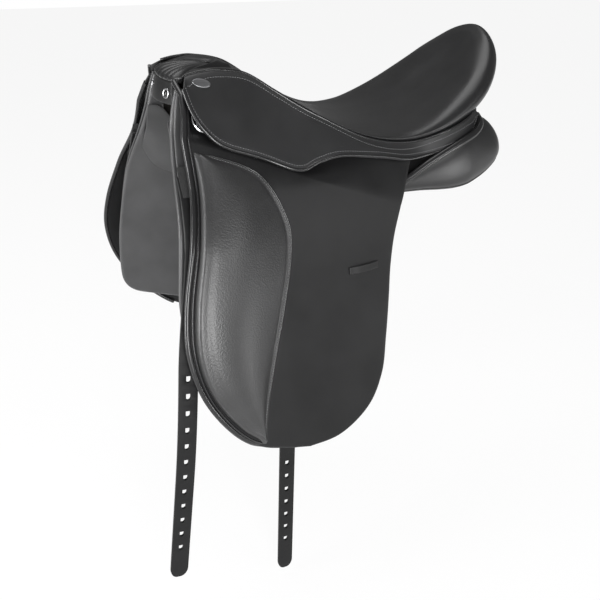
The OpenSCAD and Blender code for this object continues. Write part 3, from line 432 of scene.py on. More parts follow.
def leather_sheet(name, flat, place, thickness, finish, side=1):
    rows, cols = flat.shape[:2]
    rim = np.concatenate([flat[0], flat[:, -1], flat[-1, ::-1], flat[::-1, 0]])
    rim = np.concatenate([rim[:-1] + (rim[1:] - rim[:-1]) * k / 4 for k in range(4)])
    reach = finder([(*p, 0) for p in rim])
    apart = np.array([reach.find((*p, 0))[2] for p in flat.reshape(-1, 2)]).reshape(rows, cols)
    apart[0] = apart[-1] = 0
    apart[:, 0] = apart[:, -1] = 0
    full = np.sqrt(1 - (1 - np.clip(apart / (thickness / 2), 0, 1)) ** 2)
    faces = np.stack([place(flat, thickness / 2 * (1 + full)), place(flat, thickness / 2 * (1 - full))])
    faces[..., 1] *= side
    shape = bmesh.new()
    edge = shape.verts.layers.float.new("edge")
    grids = []
    for layer in range(2):
        grid = {}
        for r in range(rows):
            for c in range(cols):
                if layer and (r in (0, rows - 1) or c in (0, cols - 1)):
                    grid[r, c] = grids[0][r, c]
                else:
                    grid[r, c] = shape.verts.new(faces[layer, r, c] * MM)
                    grid[r, c][edge] = max(0.0, 1 - apart[r, c] / RUBBED_W)
        grids.append(grid)
        for r in range(rows - 1):
            for c in range(cols - 1):
                ring = [grid[r, c], grid[r, c + 1], grid[r + 1, c + 1], grid[r + 1, c]]
                if len(set(ring)) == 4:
                    shape.faces.new(ring[::-1] if layer else ring)
    bmesh.ops.remove_doubles(shape, verts=shape.verts, dist=2e-6)
    bmesh.ops.recalc_face_normals(shape, faces=shape.faces)
    mesh = bpy.data.meshes.new(name)
    shape.to_mesh(mesh)
    shape.free()
    return as_piece(name, mesh, finish)


def closer_at_ends(n):
    return (1 - np.cos(np.linspace(0, math.pi, n))) / 2


FACING_T, FACING_HW, FACING_H = 3, 50, 30
t, v = np.meshgrid(2 * closer_at_ends(61) - 1, closer_at_ends(33))
facing_flat = np.stack([t * FACING_HW, -v * FACING_H], -1)


def facing_place(flat, lift):
    t, v = flat[..., 0] / FACING_HW, -flat[..., 1] / FACING_H
    top = pommel_front(t) - (0, 0, 0.6)
    foot = np.stack([NOSE_X - 8 + 12 * t * t, 44 * t, np.full_like(t, POMMEL_Z - 46)], -1)
    p = top + (foot - top) * v[..., None]
    return p + np.stack([FACING_T - lift - 0.8 * np.sin(math.pi * v), 0 * t, 0 * t], -1)


facing = leather_sheet("pommel_facing_leather", facing_flat, facing_place, FACING_T, firm_leather)
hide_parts("pommel_facing")
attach(facing, "saddle")

black_enamel = leather("black_enamel", (0.006, 0.006, 0.006), 0.12, 2500.0, 0.000005)
nail_steel = steel("nail_steel", (0.42, 0.42, 0.43), 0.22, 0.32)
nail_profile = [(0, 3.4), (1.6, 3.3), (3.0, 2.7), (3.8, 1.9), (4.1, 1.5), (4.4, 1.6), (5.0, 2.2), (5.6, 2.3),
                (6.2, 1.9), (6.5, 1.2), (6.5, 0.4), (6.2, 0.0), (0, 0.0)]
ENAMEL_R = 4.2
SIDES = {"near": -1, "off": 1}
spin = np.linspace(0, 2 * math.pi, 40, endpoint=False)
nails = []
for side in SIDES.values():
    at, beside, below = (facing_place(np.array((FACING_HW * a * side, -FACING_H * b)), FACING_T - 0.4)
                         for a, b in ((0.75, 0.53), (0.76, 0.53), (0.75, 0.55)))
    out = np.cross(beside - at, below - at)
    out *= -np.sign(out[0]) / np.linalg.norm(out)
    flank = np.cross(out, (0, 0, 1)) / np.linalg.norm(np.cross(out, (0, 0, 1)))
    rise = np.cross(flank, out)
    lathe = [[at + out * h + (flank * math.cos(a) + rise * math.sin(a)) * r for a in spin]
             for r, h in nail_profile]
    nail = from_grid("nail", np.array(lathe), nail_steel, closed=True)
    nail.data.materials.append(black_enamel)
    for face in nail.data.polygons:
        apart = np.array(face.center) / MM - at
        face.material_index = int(np.linalg.norm(apart - out * (apart @ out)) < ENAMEL_R and apart @ out > 0.5)
    nails.append(nail)
with bpy.context.temp_override(active_object=nails[0], selected_editable_objects=nails):
    bpy.ops.object.join()
head_nails = nails[0]
head_nails.name = "domed_nails"
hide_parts("head_nails")
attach(head_nails, "saddle")

# The panels: two long cushions of soft leather stuffed with wool, thin beside the shoulder and full under the seat,
# with a gullet between them. Their front takes the sheets' leather, whose lighter tone is painted light, so that it
# matches the lit sheets that hang outside them.
SPREAD_LOW, SPREAD_IN, TWIST_IN, FLARE, FALL_Z = 217, 163, 33, 24, -320
GULLET_HW, PANEL_HW, PANEL_SAG, PANEL_T, PANEL_IN = 34, 131, 15, 18, 50.4
RING, HEM_POINT, LIP_END, PAINTED_LIGHT_FRONT_X = 72, 64, 212, -100
front_top = [(-214, 92), (-196, 88), (-172, 58), (-150, 38), (-60, 34)]
front_low = [(-214, 22), (-190, -15), (-150, -30), (-60, -28)]
rear_top = [(40, 26), (110, 33), (160, 50), (205, 72), (219, 80), (232, 71), (247, 57), (256, 46), (263, 36), (267, 29)]
rear_low = [(40, 0), (110, -2), (150, -7), (180, -10), (212, -9), (232, -1), (247, 13), (256, 23), (263, 33), (267, 40)]
roll_path = [(60, 128, -2), (76, 129, 6), (92, 129, 15), (116, 128, 28), (145, 126, 41), (171, 122, 51), (195, 115, 59),
             (209, 105, 68), (212, 90, 76)]
lip_path = [(60, 126), (140, 124), (171, 120), (195, 113), (211, 104), (219, 101), (232, 99), (247, 97), (267, 92)]
panel_narrow = [(40, 0), (150, 0), (200, 8), (219, 14), (235, 19), (250, 23), (267, 32)]


def side_y(x, z):
    fall = np.maximum(0, z - FALL_Z) / (POMMEL_Z + 4 - FALL_Z)
    return (SPREAD_LOW - SPREAD_IN * fall ** 2 - TWIST_IN * np.exp(-((x + 75) / 75) ** 2) * ease((z - 20) / 80)
            + FLARE * ease((-100 - x) / 140) * ease((70 - z) / 100))


def panel_section(x):
    xf, xr, g = min(x, 60), max(x, 40), GULLET_HW
    top, low = curve(front_top, xf), curve(front_low, xf)
    mid, full = (top + low) / 2, PANEL_T * ease((x + 190) / 90)
    front = [(side_y(xf, z) - PANEL_IN - sunk, z) for z, sunk in (
        (mid, 0), (top - 8, 0), (top, 0.6 + full / 3), (top - 10, 2.5 + full * 0.7), (mid, 7 + full * 0.6),
        (low + 12, 2.5 + full * 0.7), (low, 0.6 + full / 3), (low + 8, 0))]
    w, l, t = PANEL_HW - curve(panel_narrow, xr), curve(rear_low, xr) - PANEL_SAG, curve(rear_top, xr)
    tall = t - l
    lip_y = curve(lip_path, max(xr, 60))
    lip_z = curve([(a, c) for a, b, c in roll_path], max(xr, 60)) + 1 if xr < LIP_END else t
    lip_z = max(min(lip_z, t - 0.04 * tall), l + 0.5 * tall)
    rear = [(w + 1, l + 0.42 * tall), (lip_y, lip_z), ((g + w) / 2, max(t, lip_z + 4)), (g + 5, t - 0.12 * tall),
            (g, l + 0.4 * tall), (g + 6, l + 0.15 * tall), ((g + w) / 2, l), (w - 8, l + 0.12 * tall)]
    ring = np.array(front) + (np.array(rear) - front) * ease((x + 15) / 85)
    ring = around(ring, np.arange(RING) * len(front) / RING)
    narrowed = math.sqrt(max(0.09, 1 - max(0, (x - 246) / 22) ** 2)), 1
    return np.column_stack([np.full(RING, x), ring.mean(0) + (ring - ring.mean(0)) * narrowed])


panel_leather = leather("panel_leather", (0.0105, 0.0105, 0.0109), 0.34, 800.0, 0.00008, worn=0.2)
# Painted light: the sheet leather is lighter grey than the other black leathers, to stand in for the light the sheets
# catch.
painted_light_sheet_leather = leather("painted_light_sheet_leather", (0.042, 0.042, 0.043), 0.36, 700.0, 0.00007)
stations = [-214 + 8 * closer_at_ends(15)[:8], np.linspace(-208, 242, 90),
            246 + 20.9 * np.sin(np.linspace(0.1, 1.5708, 14))]
stations = np.unique(np.round(np.concatenate(stations), 3))
panels = {}
for name, side in SIDES.items():
    sections = np.array([panel_section(x) for x in stations]) * (1, side, 1)
    caps = [np.tile(s.mean(0), (RING, 1)) for s in (sections[0], sections[-1])]
    rings = np.concatenate([caps[:1], sections, caps[1:]])
    panel = from_grid(f"{name}_panel_cushion", rings, panel_leather, closed=True)
    calmed(panel, lambda p: ease((p[:, 0] - 188) / 25), 30)
    swell(panel, places(panel)[:, 0] < -0.02, 1.2, 0.003)
    # Painted light: the faces ahead of the front mark take the sheet leather's lighter tone, so the shaded front of the
    # cushion reads like the lit sheet.
    panel.data.materials.append(painted_light_sheet_leather)
    for face in panel.data.polygons:
        face.material_index = int(face.center.x < PAINTED_LIGHT_FRONT_X * MM)
    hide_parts(f"{name}_panel")
    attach(panel, "saddle")
    panels[name] = panel


# What follows a seam: welts of leather drawn round a cord, and rows of stitches in waxed thread. The first are the
# roll along the top of each panel's rear gusset and the piping round its lower edge, sewn in with the seam.
def seam_tree(name, sizes, step):
    tree = bpy.data.node_groups.new(name, "GeometryNodeTree")
    tree.interface.new_socket("Seam", in_out="INPUT", socket_type="NodeSocketGeometry")
    for label, value in sizes.items():
        tree.interface.new_socket(label, in_out="INPUT", socket_type="NodeSocketFloat").default_value = value
    tree.interface.new_socket("Finish", in_out="INPUT", socket_type="NodeSocketMaterial")
    tree.interface.new_socket("Made", in_out="OUTPUT", socket_type="NodeSocketGeometry")
    given = tree.nodes.new("NodeGroupInput").outputs
    line = add_node(tree, "GeometryNodeMeshToCurve", {"Mesh": given["Seam"]}).outputs["Curve"]
    even = add_node(tree, "GeometryNodeResampleCurve", {"Curve": line, "Length": given[step]}, mode="LENGTH")
    return tree, given, even.outputs["Curve"]


def grown(tree, given, shape):
    whole = add_node(tree, "GeometryNodeRealizeInstances", {"Geometry": shape}).outputs["Geometry"]
    smooth = add_node(tree, "GeometryNodeSetShadeSmooth", {"Geometry": whole}).outputs["Geometry"]
    finished = add_node(tree, "GeometryNodeSetMaterial", {"Geometry": smooth, "Material": given["Finish"]})
    add_node(tree, "NodeGroupOutput", {"Made": finished.outputs["Geometry"]})
    return tree


def welt_tree():
    tree, given, line = seam_tree("welt", {"Radius": 0.002, "Step": 0.003}, "Step")
    ring = add_node(tree, "GeometryNodeCurvePrimitiveCircle", {"Radius": given["Radius"], "Resolution": 14})
    tube = add_node(tree, "GeometryNodeCurveToMesh", {"Curve": line, "Profile Curve": ring.outputs["Curve"],
                                                      "Fill Caps": True})
    return grown(tree, given, tube.outputs["Mesh"])


def stitch_tree():
    tree, given, line = seam_tree("stitch_row", {"Pitch": 0.0034, "Length": 0.0027, "Thread": 0.0009}, "Pitch")
    bead = add_node(tree, "GeometryNodeMeshUVSphere", {"Segments": 6, "Rings": 4, "Radius": 0.5}).outputs["Mesh"]
    run = add_node(tree, "GeometryNodeInputTangent").outputs["Tangent"]
    turn = add_node(tree, "FunctionNodeAlignRotationToVector", {"Vector": run}, axis="X").outputs["Rotation"]
    size = add_node(tree, "ShaderNodeCombineXYZ", {"X": given["Length"], "Y": given["Thread"], "Z": given["Thread"]})
    sown = add_node(tree, "GeometryNodeInstanceOnPoints", {"Points": line, "Instance": bead, "Rotation": turn,
                                                           "Scale": size.outputs["Vector"]})
    return grown(tree, given, sown.outputs["Instances"])


def thread():
    finish, tree, shader = new_finish("waxed_thread")
    place = add_node(tree, "ShaderNodeTexCoord").outputs["Object"]
    twist = add_node(tree, "ShaderNodeTexWave", {"Vector": place, "Scale": 900.0, "Distortion": 1.0},
                     bands_direction="DIAGONAL").outputs["Fac"]
    feed(tree, shader, {"Base Color": two_tones(tree, twist, (0.09, 0.09, 0.092), (0.2, 0.2, 0.205)),
                        "Roughness": 0.45, "Normal": bumps(tree, twist, 0.0001)})
    return finish


welts, stitches, waxed_thread = welt_tree(), stitch_tree(), thread()


def along_seam(name, line, tree, finish, **sizes):
    mesh = bpy.data.meshes.new(name)
    mesh.from_pydata([tuple(p) for p in line * MM], [(i, i + 1) for i in range(len(line) - 1)], [])
    seam = bpy.data.objects.new(name + "_seam", mesh)
    bpy.context.scene.collection.objects.link(seam)
    grow = seam.modifiers.new("grow", "NODES")
    grow.node_group = tree
    for socket in tree.interface.items_tree:
        if socket.in_out == "INPUT" and socket.name in sizes:
            grow[socket.identifier] = sizes[socket.name]
        elif socket.in_out == "INPUT" and socket.name == "Finish":
            grow[socket.identifier] = finish
    made = bpy.data.meshes.new_from_object(seam.evaluated_get(bpy.context.evaluated_depsgraph_get()))
    bpy.data.objects.remove(seam)
    made.materials.clear()
    return as_piece(name, made, finish)


ROLL_R, ROLL_OUT, PANEL_PIPING_R = 5.4, (0, 3.6, 0.6), 1.2
piping_leather = leather("piping_leather", (0.011, 0.011, 0.0114), 0.2, 1300.0, 0.00003)
for name, side in SIDES.items():
    lie = (along(roll_path, np.linspace(0, 8, 90)) + ROLL_OUT) * (1, side, 1)
    roll = along_seam(f"{name}_gusset_welt", lie, welts, piping_leather, Radius=ROLL_R * MM)
    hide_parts(f"{name}_gusset_roll")
    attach(roll, "saddle")
    hem = np.array([panel_section(x)[HEM_POINT] for x in np.linspace(20, 258, 90)]) * (1, side, 1)
    bpy.context.view_layer.update()
    hem = np.array([panels[name].closest_point_on_mesh(tuple(p * MM))[1] for p in hem]) / MM
    piping = along_seam(f"{name}_panel_piping", hem, welts, soft_leather, Radius=PANEL_PIPING_R * MM)
    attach(piping, "saddle")

# The sheets under the flap: the panel's own leather flap against the horse, and the sweat flap outside it. Each is a
# single hide with its edge turned over. The near panel flap hangs a little further back at its foot.
HANG_IN, NEAR_SWAY = 18, 13
SWEAT_IN, SWEAT_T = 29.1, 4
LINING_IN, LINING_T = 42.5, 7
sweat_front = [(-203, 133), (-210, 105), (-218, 50), (-226, -8), (-234, -80), (-235, -134), (-226, -185),
               (-206, -228), (-185, -247), (-165, -252)]
sweat_rear = [(-186, 131), (-192, 102), (-172, 30), (-70, 24), (-22, 4), (-26, -60), (-33, -135), (-48, -200),
              (-80, -238), (-130, -252)]
lining_front = [(-204, 131), (-210, 108), (-219, 55), (-228, -5), (-238, -80), (-243, -134), (-243, -190),
                (-238, -219), (-222, -237), (-190, -247)]
lining_rear = [(-188, 129), (-193, 104), (-170, 28), (-68, 20), (-18, 0), (-21, -65), (-28, -140), (-43, -205),
               (-76, -243), (-130, -259)]


def hung(depth, sway):
    def place(flat, lift):
        x, z = flat[..., 0] + sway * ease((-90 - flat[..., 1]) / 110), flat[..., 1]
        sunk = depth * (1 - 0.47 * ease((z - 80) / 60)) + HANG_IN * ease((10 - z) / 220)
        return np.stack([x, side_y(x, z) - sunk + lift, z], -1)
    return place


def between(front, rear, rows, cols, u=None):
    u = (len(front) - 1) * closer_at_ends(rows) if u is None else u
    a, b = along(front, u)[:, None], along(rear, u)[:, None]
    return a + (b - a) * closer_at_ends(cols)[None, :, None]


for name, side in SIDES.items():
    for part, front, rear, depth, thick, sway in (
            ("sweat_flap", sweat_front, sweat_rear, SWEAT_IN, SWEAT_T, 0),
            ("panel_flap", lining_front, lining_rear, LINING_IN, LINING_T, NEAR_SWAY if name == "near" else 0)):
        flat, place = between(front, rear, 121, 61), hung(depth + thick, sway)
        # Each sheet takes the sheet leather, whose lighter tone is painted light.
        sheet = leather_sheet(f"{name}_{part}_leather", flat, place, thick, painted_light_sheet_leather, side)
        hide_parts(f"{name}_{part}")
        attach(sheet, "saddle")

# The girth straps: firm bridle leather with punched shield-shaped holes, sewn to the webs at their tops. The near
# pair hangs; the off pair is turned up between the flaps.
STRAP_IN, STRAP_T, FOLD_IN, SEWN_IN = 19.5, 4, 4, 1.0
FRONT_W, FRONT_TOP, FRONT_TIP, FRONT_PITCH, FRONT_FIRST = 24, 40, -476, 22.7, 49
REAR_W, REAR_TOP, REAR_TIP, REAR_PITCH, REAR_FIRST = 22, 32, -547, 22.9, 55
HOLE_D, POINT_L, STRAP_EDGE = 7, 14, 0.6
front_mid = [(-600, -289), (-427, -273), (-177, -248), (-120, -239), (-40, -221), (10, -213), (46, -211)]
tucked_mid = [(-300, -190), (-100, -201), (10, -211), (46, -211)]
rear_mid = [(-600, -111), (-446, -111), (46, -111)]


def strap_outline(width, length):
    start = length - POINT_L
    tip = [(width / 2 * math.cos(a) ** 0.8, start + POINT_L * math.sin(a)) for a in np.linspace(0, math.pi / 2, 9)]
    right = [(width / 2, s) for s in np.linspace(0, start, 60, endpoint=False)] + tip
    return right + [(-x, s) for x, s in right[-2::-1]]


def shield(x, s):
    arc = [(x + HOLE_D / 2 * math.cos(a), s + HOLE_D / 2 * math.sin(a)) for a in np.linspace(0, math.pi, 9)]
    return arc + [(x - HOLE_D / 2, s - HOLE_D * 0.8), (x + HOLE_D / 2, s - HOLE_D * 0.8)]


def flat_strap(width, length, holes):
    sheet = bpy.data.curves.new("strap", "CURVE")
    sheet.dimensions, sheet.fill_mode = "2D", "BOTH"
    sheet.extrude, sheet.bevel_depth, sheet.bevel_resolution = (STRAP_T / 2 - STRAP_EDGE) * MM, STRAP_EDGE * MM, 2
    for ring in [strap_outline(width - 2 * STRAP_EDGE, length)] + [shield(0, s) for s in holes]:
        spline = sheet.splines.new("POLY")
        spline.points.add(len(ring) - 1)
        for point, (x, s) in zip(spline.points, ring):
            point.co = (x * MM, -s * MM, 0, 1)
        spline.use_cyclic_u = True
    made = bpy.data.objects.new("strap", sheet)
    bpy.context.scene.collection.objects.link(made)
    mesh = bpy.data.meshes.new_from_object(made.evaluated_get(bpy.context.evaluated_depsgraph_get()))
    bpy.data.objects.remove(made)
    shape = bmesh.new()
    shape.from_mesh(mesh)
    bmesh.ops.remove_doubles(shape, verts=shape.verts, dist=1e-6)
    for s in np.arange(6, length, 6):
        everything = shape.verts[:] + shape.edges[:] + shape.faces[:]
        bmesh.ops.bisect_plane(shape, geom=everything, plane_co=(0, -s * MM, 0), plane_no=(0, 1, 0))
    shape.to_mesh(mesh)
    shape.free()
    return mesh


def hung_run(mid, top, end, count):
    z = np.linspace(top, end, count)
    x = curve(mid, z)
    return np.stack([x, side_y(x, z) - STRAP_IN - STRAP_T / 2 - SEWN_IN * ease((z + 20) / 40), z], -1)


def turned_run(mid, top, fold, end):
    inner = hung_run(mid, top, fold, 80)
    up = np.linspace(fold, end, 80)
    outer = np.stack([curve(mid, up), side_y(curve(mid, up), up) - STRAP_IN + FOLD_IN + STRAP_T / 2, up], -1)
    middle, half = (inner[-1] + outer[0]) / 2, (outer[0] - inner[-1]) / 2
    a = np.linspace(0, math.pi, 14)[1:-1, None]
    turn = middle - half * np.cos(a) - np.array((0, 0, np.linalg.norm(half))) * np.sin(a)
    return np.concatenate([inner, turn, outer])


def lay_strap(name, run, width, holes, side, finish):
    step = np.concatenate([[0], np.cumsum(np.linalg.norm(np.diff(run, axis=0), axis=1))])
    length = step[-1]
    mesh = flat_strap(width, length, [length - h for h in holes])
    flat = np.array([v.co for v in mesh.vertices]) / MM
    s = np.clip(-flat[:, 1], 0, length)
    centre = np.column_stack([np.interp(s, step, run[:, k]) for k in range(3)])
    ahead = np.column_stack([np.interp(s + 2, step, run[:, k]) - np.interp(s - 2, step, run[:, k]) for k in range(3)])
    ahead /= np.linalg.norm(ahead, axis=1)[:, None]
    across = np.cross(ahead, np.cross(np.tile((1.0, 0, 0), (len(s), 1)), ahead))
    across /= np.linalg.norm(across, axis=1)[:, None]
    lain = centre + across * flat[:, :1] + np.cross(across, ahead) * flat[:, 2:]
    lain[:, 1] *= side
    mesh.vertices.foreach_set("co", (lain * MM).ravel())
    shape = bmesh.new()
    shape.from_mesh(mesh)
    bmesh.ops.recalc_face_normals(shape, faces=shape.faces)
    shape.to_mesh(mesh)
    shape.free()
    mesh.materials.clear()
    return as_piece(name, mesh, finish)


strap_leather = leather("strap_leather", (0.007, 0.007, 0.0073), 0.5, 1500.0, 0.00005, shine=0.22)
front_holes = [FRONT_FIRST + i * FRONT_PITCH for i in range(12)]
rear_holes = [REAR_FIRST + i * REAR_PITCH for i in range(7)]
front_up, rear_up = FRONT_FIRST + 8.5 * FRONT_PITCH, (REAR_TOP - REAR_TIP) / 2 - 10
front_turned = turned_run(tucked_mid, FRONT_TOP, FRONT_TIP + front_up, FRONT_TIP + 2 * front_up)
rear_turned = turned_run(rear_mid, REAR_TOP, REAR_TIP + rear_up, REAR_TIP + 2 * rear_up)
runs = {"near_front_strap": (hung_run(front_mid, FRONT_TOP, FRONT_TIP, 160), FRONT_W, front_holes),
        "near_rear_strap": (hung_run(rear_mid, REAR_TOP, REAR_TIP, 160), REAR_W, rear_holes),
        "off_front_strap": (front_turned, FRONT_W, front_holes),
        "off_rear_strap": (rear_turned, REAR_W, rear_holes)}
for node, (run, width, holes) in runs.items():
    side = SIDES[node.split("_")[0]]
    strap = lay_strap(f"{node}_leather", run, width, holes, side, strap_leather)
    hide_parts(node)
    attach(strap, node)

# The flaps: firm hide covered with grained leather, each with a rolled front edge. A flap is nailed to the tree along
# its head.
FLAP_T, POCKET = 4.5, 18
FLAP_BEND = 6, 14
EDGE_ROLL_R, EDGE_ROLL_IN, EDGE_WELT_R, EDGE_WELT_IN = 3.6, 3.0, 1.5, 8.6
bend_front, bend_rear = np.array((-214, 85)), np.array((57, -13.5))
flap_front = [tuple(bend_front), (-217, 32), (-232, -25), (-248, -85), (-252, -140), (-237, -198), (-200, -255),
              (-158, -291), (-112, -311)]
flap_rear = [(64, -16), (49, -50), (39, -86), (33, -125), (26, -177), (19, -228), (-1, -274), (-42, -308), (-88, -316)]
head_top = [(-204, 127), (-190, 127), (-167, 111), (-143, 78), (-110, 66), (-60, 57), (-10, 53), (50, 46), (95, 38)]


def flap_place(flat, lift):
    x, z = flat[..., 0], flat[..., 1]
    bend_z = bend_front[1] + (bend_rear[1] - bend_front[1]) * (x - bend_front[0]) / (bend_rear[0] - bend_front[0])
    front_x = bend_front[0] + 11 * (z - bend_front[1]) / 56
    pocket = (POCKET - 10 * ease((x - 10) / 60)) * ease((z - bend_z) / (20 + 45 * ease((x + 60) / 70)))
    dip = (pocket - 9 * ease((z - 112) / 20)) * ease((x - front_x - 7) / 9)
    return np.stack([x, side_y(x, z) + lift - dip - 12 * ease((z - 105) / 36), z], -1)


def bend(piece, body, a, b, inner, width):
    def on_side(x, z):
        return np.array((x, side_y(x, z) * SIDES[body.split("_")[0]], z))

    low, high = on_side(*a), on_side(*b)
    axis = (high - low) / np.linalg.norm(high - low)
    middle = (low + high) / 2
    down = on_side(middle[0], middle[2] - 20) - on_side(middle[0], middle[2])
    down -= axis * (down @ axis)
    down /= np.linalg.norm(down)
    start, end = (middle - down * inner) * MM, (middle + down * (width - inner)) * MM
    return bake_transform(piece, "saddle", body, tuple(start), tuple(end))


flap_leather = leather("flap_leather", (0.0085, 0.0085, 0.0088), 0.43, 1150.0, 0.00006, worn=0.8, shine=0.24)
s = closer_at_ends(73)
tops, bends = along(head_top, 8 * s), bend_front + (np.array(flap_rear[0]) - bend_front) * s[:, None]
head = np.array([tops + (bends - tops) * r for r in closer_at_ends(41)[:-1]])
below = between(flap_front, flap_rear, 0, 73, 8 * np.sin(np.linspace(0, math.pi / 2, 110)))
flap_flat = np.concatenate([head, below])
for name, side in SIDES.items():
    flap = leather_sheet(f"{name}_flap_leather", flap_flat, flap_place, FLAP_T, flap_leather, side)
    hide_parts(f"{name}_flap", f"{name}_flap_head")
    bend(flap, f"{name}_flap", bend_front, bend_rear, *FLAP_BEND)
    edge_line = np.concatenate([flap_flat[:40, 0], along(flap_front, np.linspace(0, 7.2, 120))])
    sunk = ease((np.arange(len(edge_line)) - len(edge_line) + 14) / 12)
    roll_line = flap_place(edge_line + (EDGE_ROLL_IN, 0), FLAP_T / 2 + 0.6 - 5 * sunk)
    corner = np.array((-203, POMMEL_HW + 3, POMMEL_Z - 17))
    corner = roll_line[0] + (corner - roll_line[0]) * np.linspace(1, 0.2, 5)[:, None]
    roll_line = (np.concatenate([corner, roll_line]) if side < 0 else roll_line[16:]) * (1, side, 1)
    edge_roll = along_seam(f"{name}_flap_roll", roll_line, welts, piping_leather, Radius=EDGE_ROLL_R * MM)
    bend(edge_roll, f"{name}_flap", bend_front, bend_rear, *FLAP_BEND)
    welt_line = flap_place(edge_line[6:] + (EDGE_WELT_IN, 0), FLAP_T + 0.5 - 4 * sunk[6:]) * (1, side, 1)
    edge_welt = along_seam(f"{name}_flap_welt", welt_line, welts, piping_leather, Radius=EDGE_WELT_R * MM)
    bend(edge_welt, f"{name}_flap", bend_front, bend_rear, *FLAP_BEND)

# The knee pads: foam blocks under soft grained leather, with a rolled front edge and the fullest part in the middle.
# They are sewn to the flap all round, with a thin welt and a row of stitches along the rear seam.
KNEE_ROLL_H, KNEE_ROLL_W, PILLOW_H, HEM = 11, 7, 10, 6.5
KNEE_SEAM_R = 1.1
knee_front = [(-203, 71), (-207, 30), (-221, -25), (-237, -85), (-241, -140), (-227, -193), (-194, -244), (-170, -270),
              (-160, -284)]
knee_rear = [(-184, 66), (-126, 40), (-99, -12), (-101, -55), (-117, -110), (-133, -160), (-147, -212), (-154, -255),
             (-156, -284)]


def knee_rise(u, s):
    along_it = np.sin(math.pi / 2 * np.clip(u / 1.1, 0, 1)) ** 0.6
    along_it = along_it * np.sin(math.pi / 2 * np.clip((8 - u) / 3.0, 0, 1)) ** 0.7
    wide = np.linalg.norm(along(knee_rear, u) - along(knee_front, u), axis=-1)
    inward = s * wide
    roll = KNEE_ROLL_H * np.sqrt(np.clip(1 - (1 - np.minimum(inward / KNEE_ROLL_W, 1)) ** 2, 0, 1))
    groove = 0.9 * np.exp(-((inward - 13) / 4) ** 2)
    across = np.clip((inward - KNEE_ROLL_W) / np.maximum(wide - HEM - KNEE_ROLL_W, 1), 0, 1)
    pillow = PILLOW_H * np.sin(math.pi * across ** 0.95).clip(0)
    return 1.1 * ease(inward / 3) + (roll - groove + pillow) * (1 - across ** 3.5).clip(0) ** 0.6 * along_it


# Painted light: the pad's leather is lighter than the flap's to stand in for the light the pad catches; its pebbled
# grain is real.
painted_light_pebbled_leather = leather("painted_light_pebbled_leather", (0.019, 0.019, 0.0194), 0.41, 500.0, 0.00026, worn=0.2, shine=0.65)
u, s = np.meshgrid(8 * closer_at_ends(101), closer_at_ends(57), indexing="ij")
knee_flat = along(knee_front, u) + (along(knee_rear, u) - along(knee_front, u)) * s[..., None]
for name, side in SIDES.items():
    top = flap_place(knee_flat, FLAP_T + 0.4 + knee_rise(u, s)) * (1, side, 1)
    back = flap_place(knee_flat, np.full(u.shape, FLAP_T + 0.3)) * (1, side, 1)
    shell = np.concatenate([top, back[::-1], top[:1]])
    pad = from_grid(f"{name}_knee_cushion", shell, painted_light_pebbled_leather, doubles=3e-4)
    closed_up(pad.data)
    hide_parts(f"{name}_knee_pad")
    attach(pad, f"{name}_flap")
    rear = along(knee_rear, np.linspace(0.05, 7.6, 200)) - (2.2, 0.8)
    rear = flap_place(rear, np.full(200, FLAP_T + 1.7)) * (1, side, 1)
    line = flap_place(along(knee_rear, np.linspace(0, 7.9, 200)), np.full(200, FLAP_T + 0.8)) * (1, side, 1)
    seam = along_seam(f"{name}_knee_seam", line, welts, piping_leather, Radius=KNEE_SEAM_R * MM)
    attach(seam, f"{name}_flap")
    rows = along_seam(f"{name}_knee_stitches", rear, stitches, waxed_thread)
    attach(rows, f"{name}_flap")

# The keepers: short strips of firm leather that hold the end of the stirrup leather. Each is sewn down on the flap
# at both ends and stands off it in between.
KEEPER_L, KEEPER_W, KEEPER_GAP, KEEPER_T = 42, 9, 2, 2
KEEPER_X, KEEPER_Z, KEEPER_TILT = -2, -82, 3
t, r = np.meshgrid(closer_at_ends(41), closer_at_ends(17), indexing="ij")
strip_flat = np.stack([(t - 0.5) * KEEPER_L, (r - 0.5) * KEEPER_W], -1)


def keeper_place(flat, lift):
    share = flat[..., 0] / KEEPER_L
    at = np.stack([KEEPER_X + flat[..., 0], KEEPER_Z + KEEPER_TILT * share + flat[..., 1]], -1)
    return flap_place(at, FLAP_T + 0.4 + lift + KEEPER_GAP * ease(1.25 - np.abs(2 * share) * 1.25))


for name, side in SIDES.items():
    keeper = leather_sheet(f"{name}_keeper_strip", strip_flat, keeper_place, KEEPER_T, firm_leather, side)
    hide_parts(f"{name}_keeper")
    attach(keeper, f"{name}_flap")

# The chapes: short folds of strap leather nailed to the tree under the front of each skirt. The polished dees hang
# in them.
dress(["near_chape", "off_chape"], strap_leather)

# The skirts: firm leather sewn to the seat along the welt, covering the stirrup bars, with a piped lower edge
# and a row of stitches inside it.
SKIRT_T, SKIRT_BEND = 4, (5, 12)
SKIRT_STEP, SKIRT_DROP = 20, 40
SKIRT_PIPING_R, SEAT_WELT_R = 2.5, 2.0
skirt_top = [(-192, 146.5), (-184, 148.5), (-170, 150.5), (-150, 151), (-112, 143.5), (-72, 119), (-48, 103.5),
             (-21, 89), (36, 62), (92, 54.5), (150, 66.5), (190, 77.5), (209, 85)]
skirt_low = [(-201, 136), (-196, 114), (-185, 93), (-163, 73), (-117, 56), (-72, 39.5), (-42, 45.5), (-8, 50), (42, 45),
             (94, 38), (152, 45), (195, 57), (213, 77)]
welt_y = [(-190, 42)] + [(x, y) for x, y, z in welt_half[3:]]
lift_front, lift_rear = (-199, 119), (30, 54)


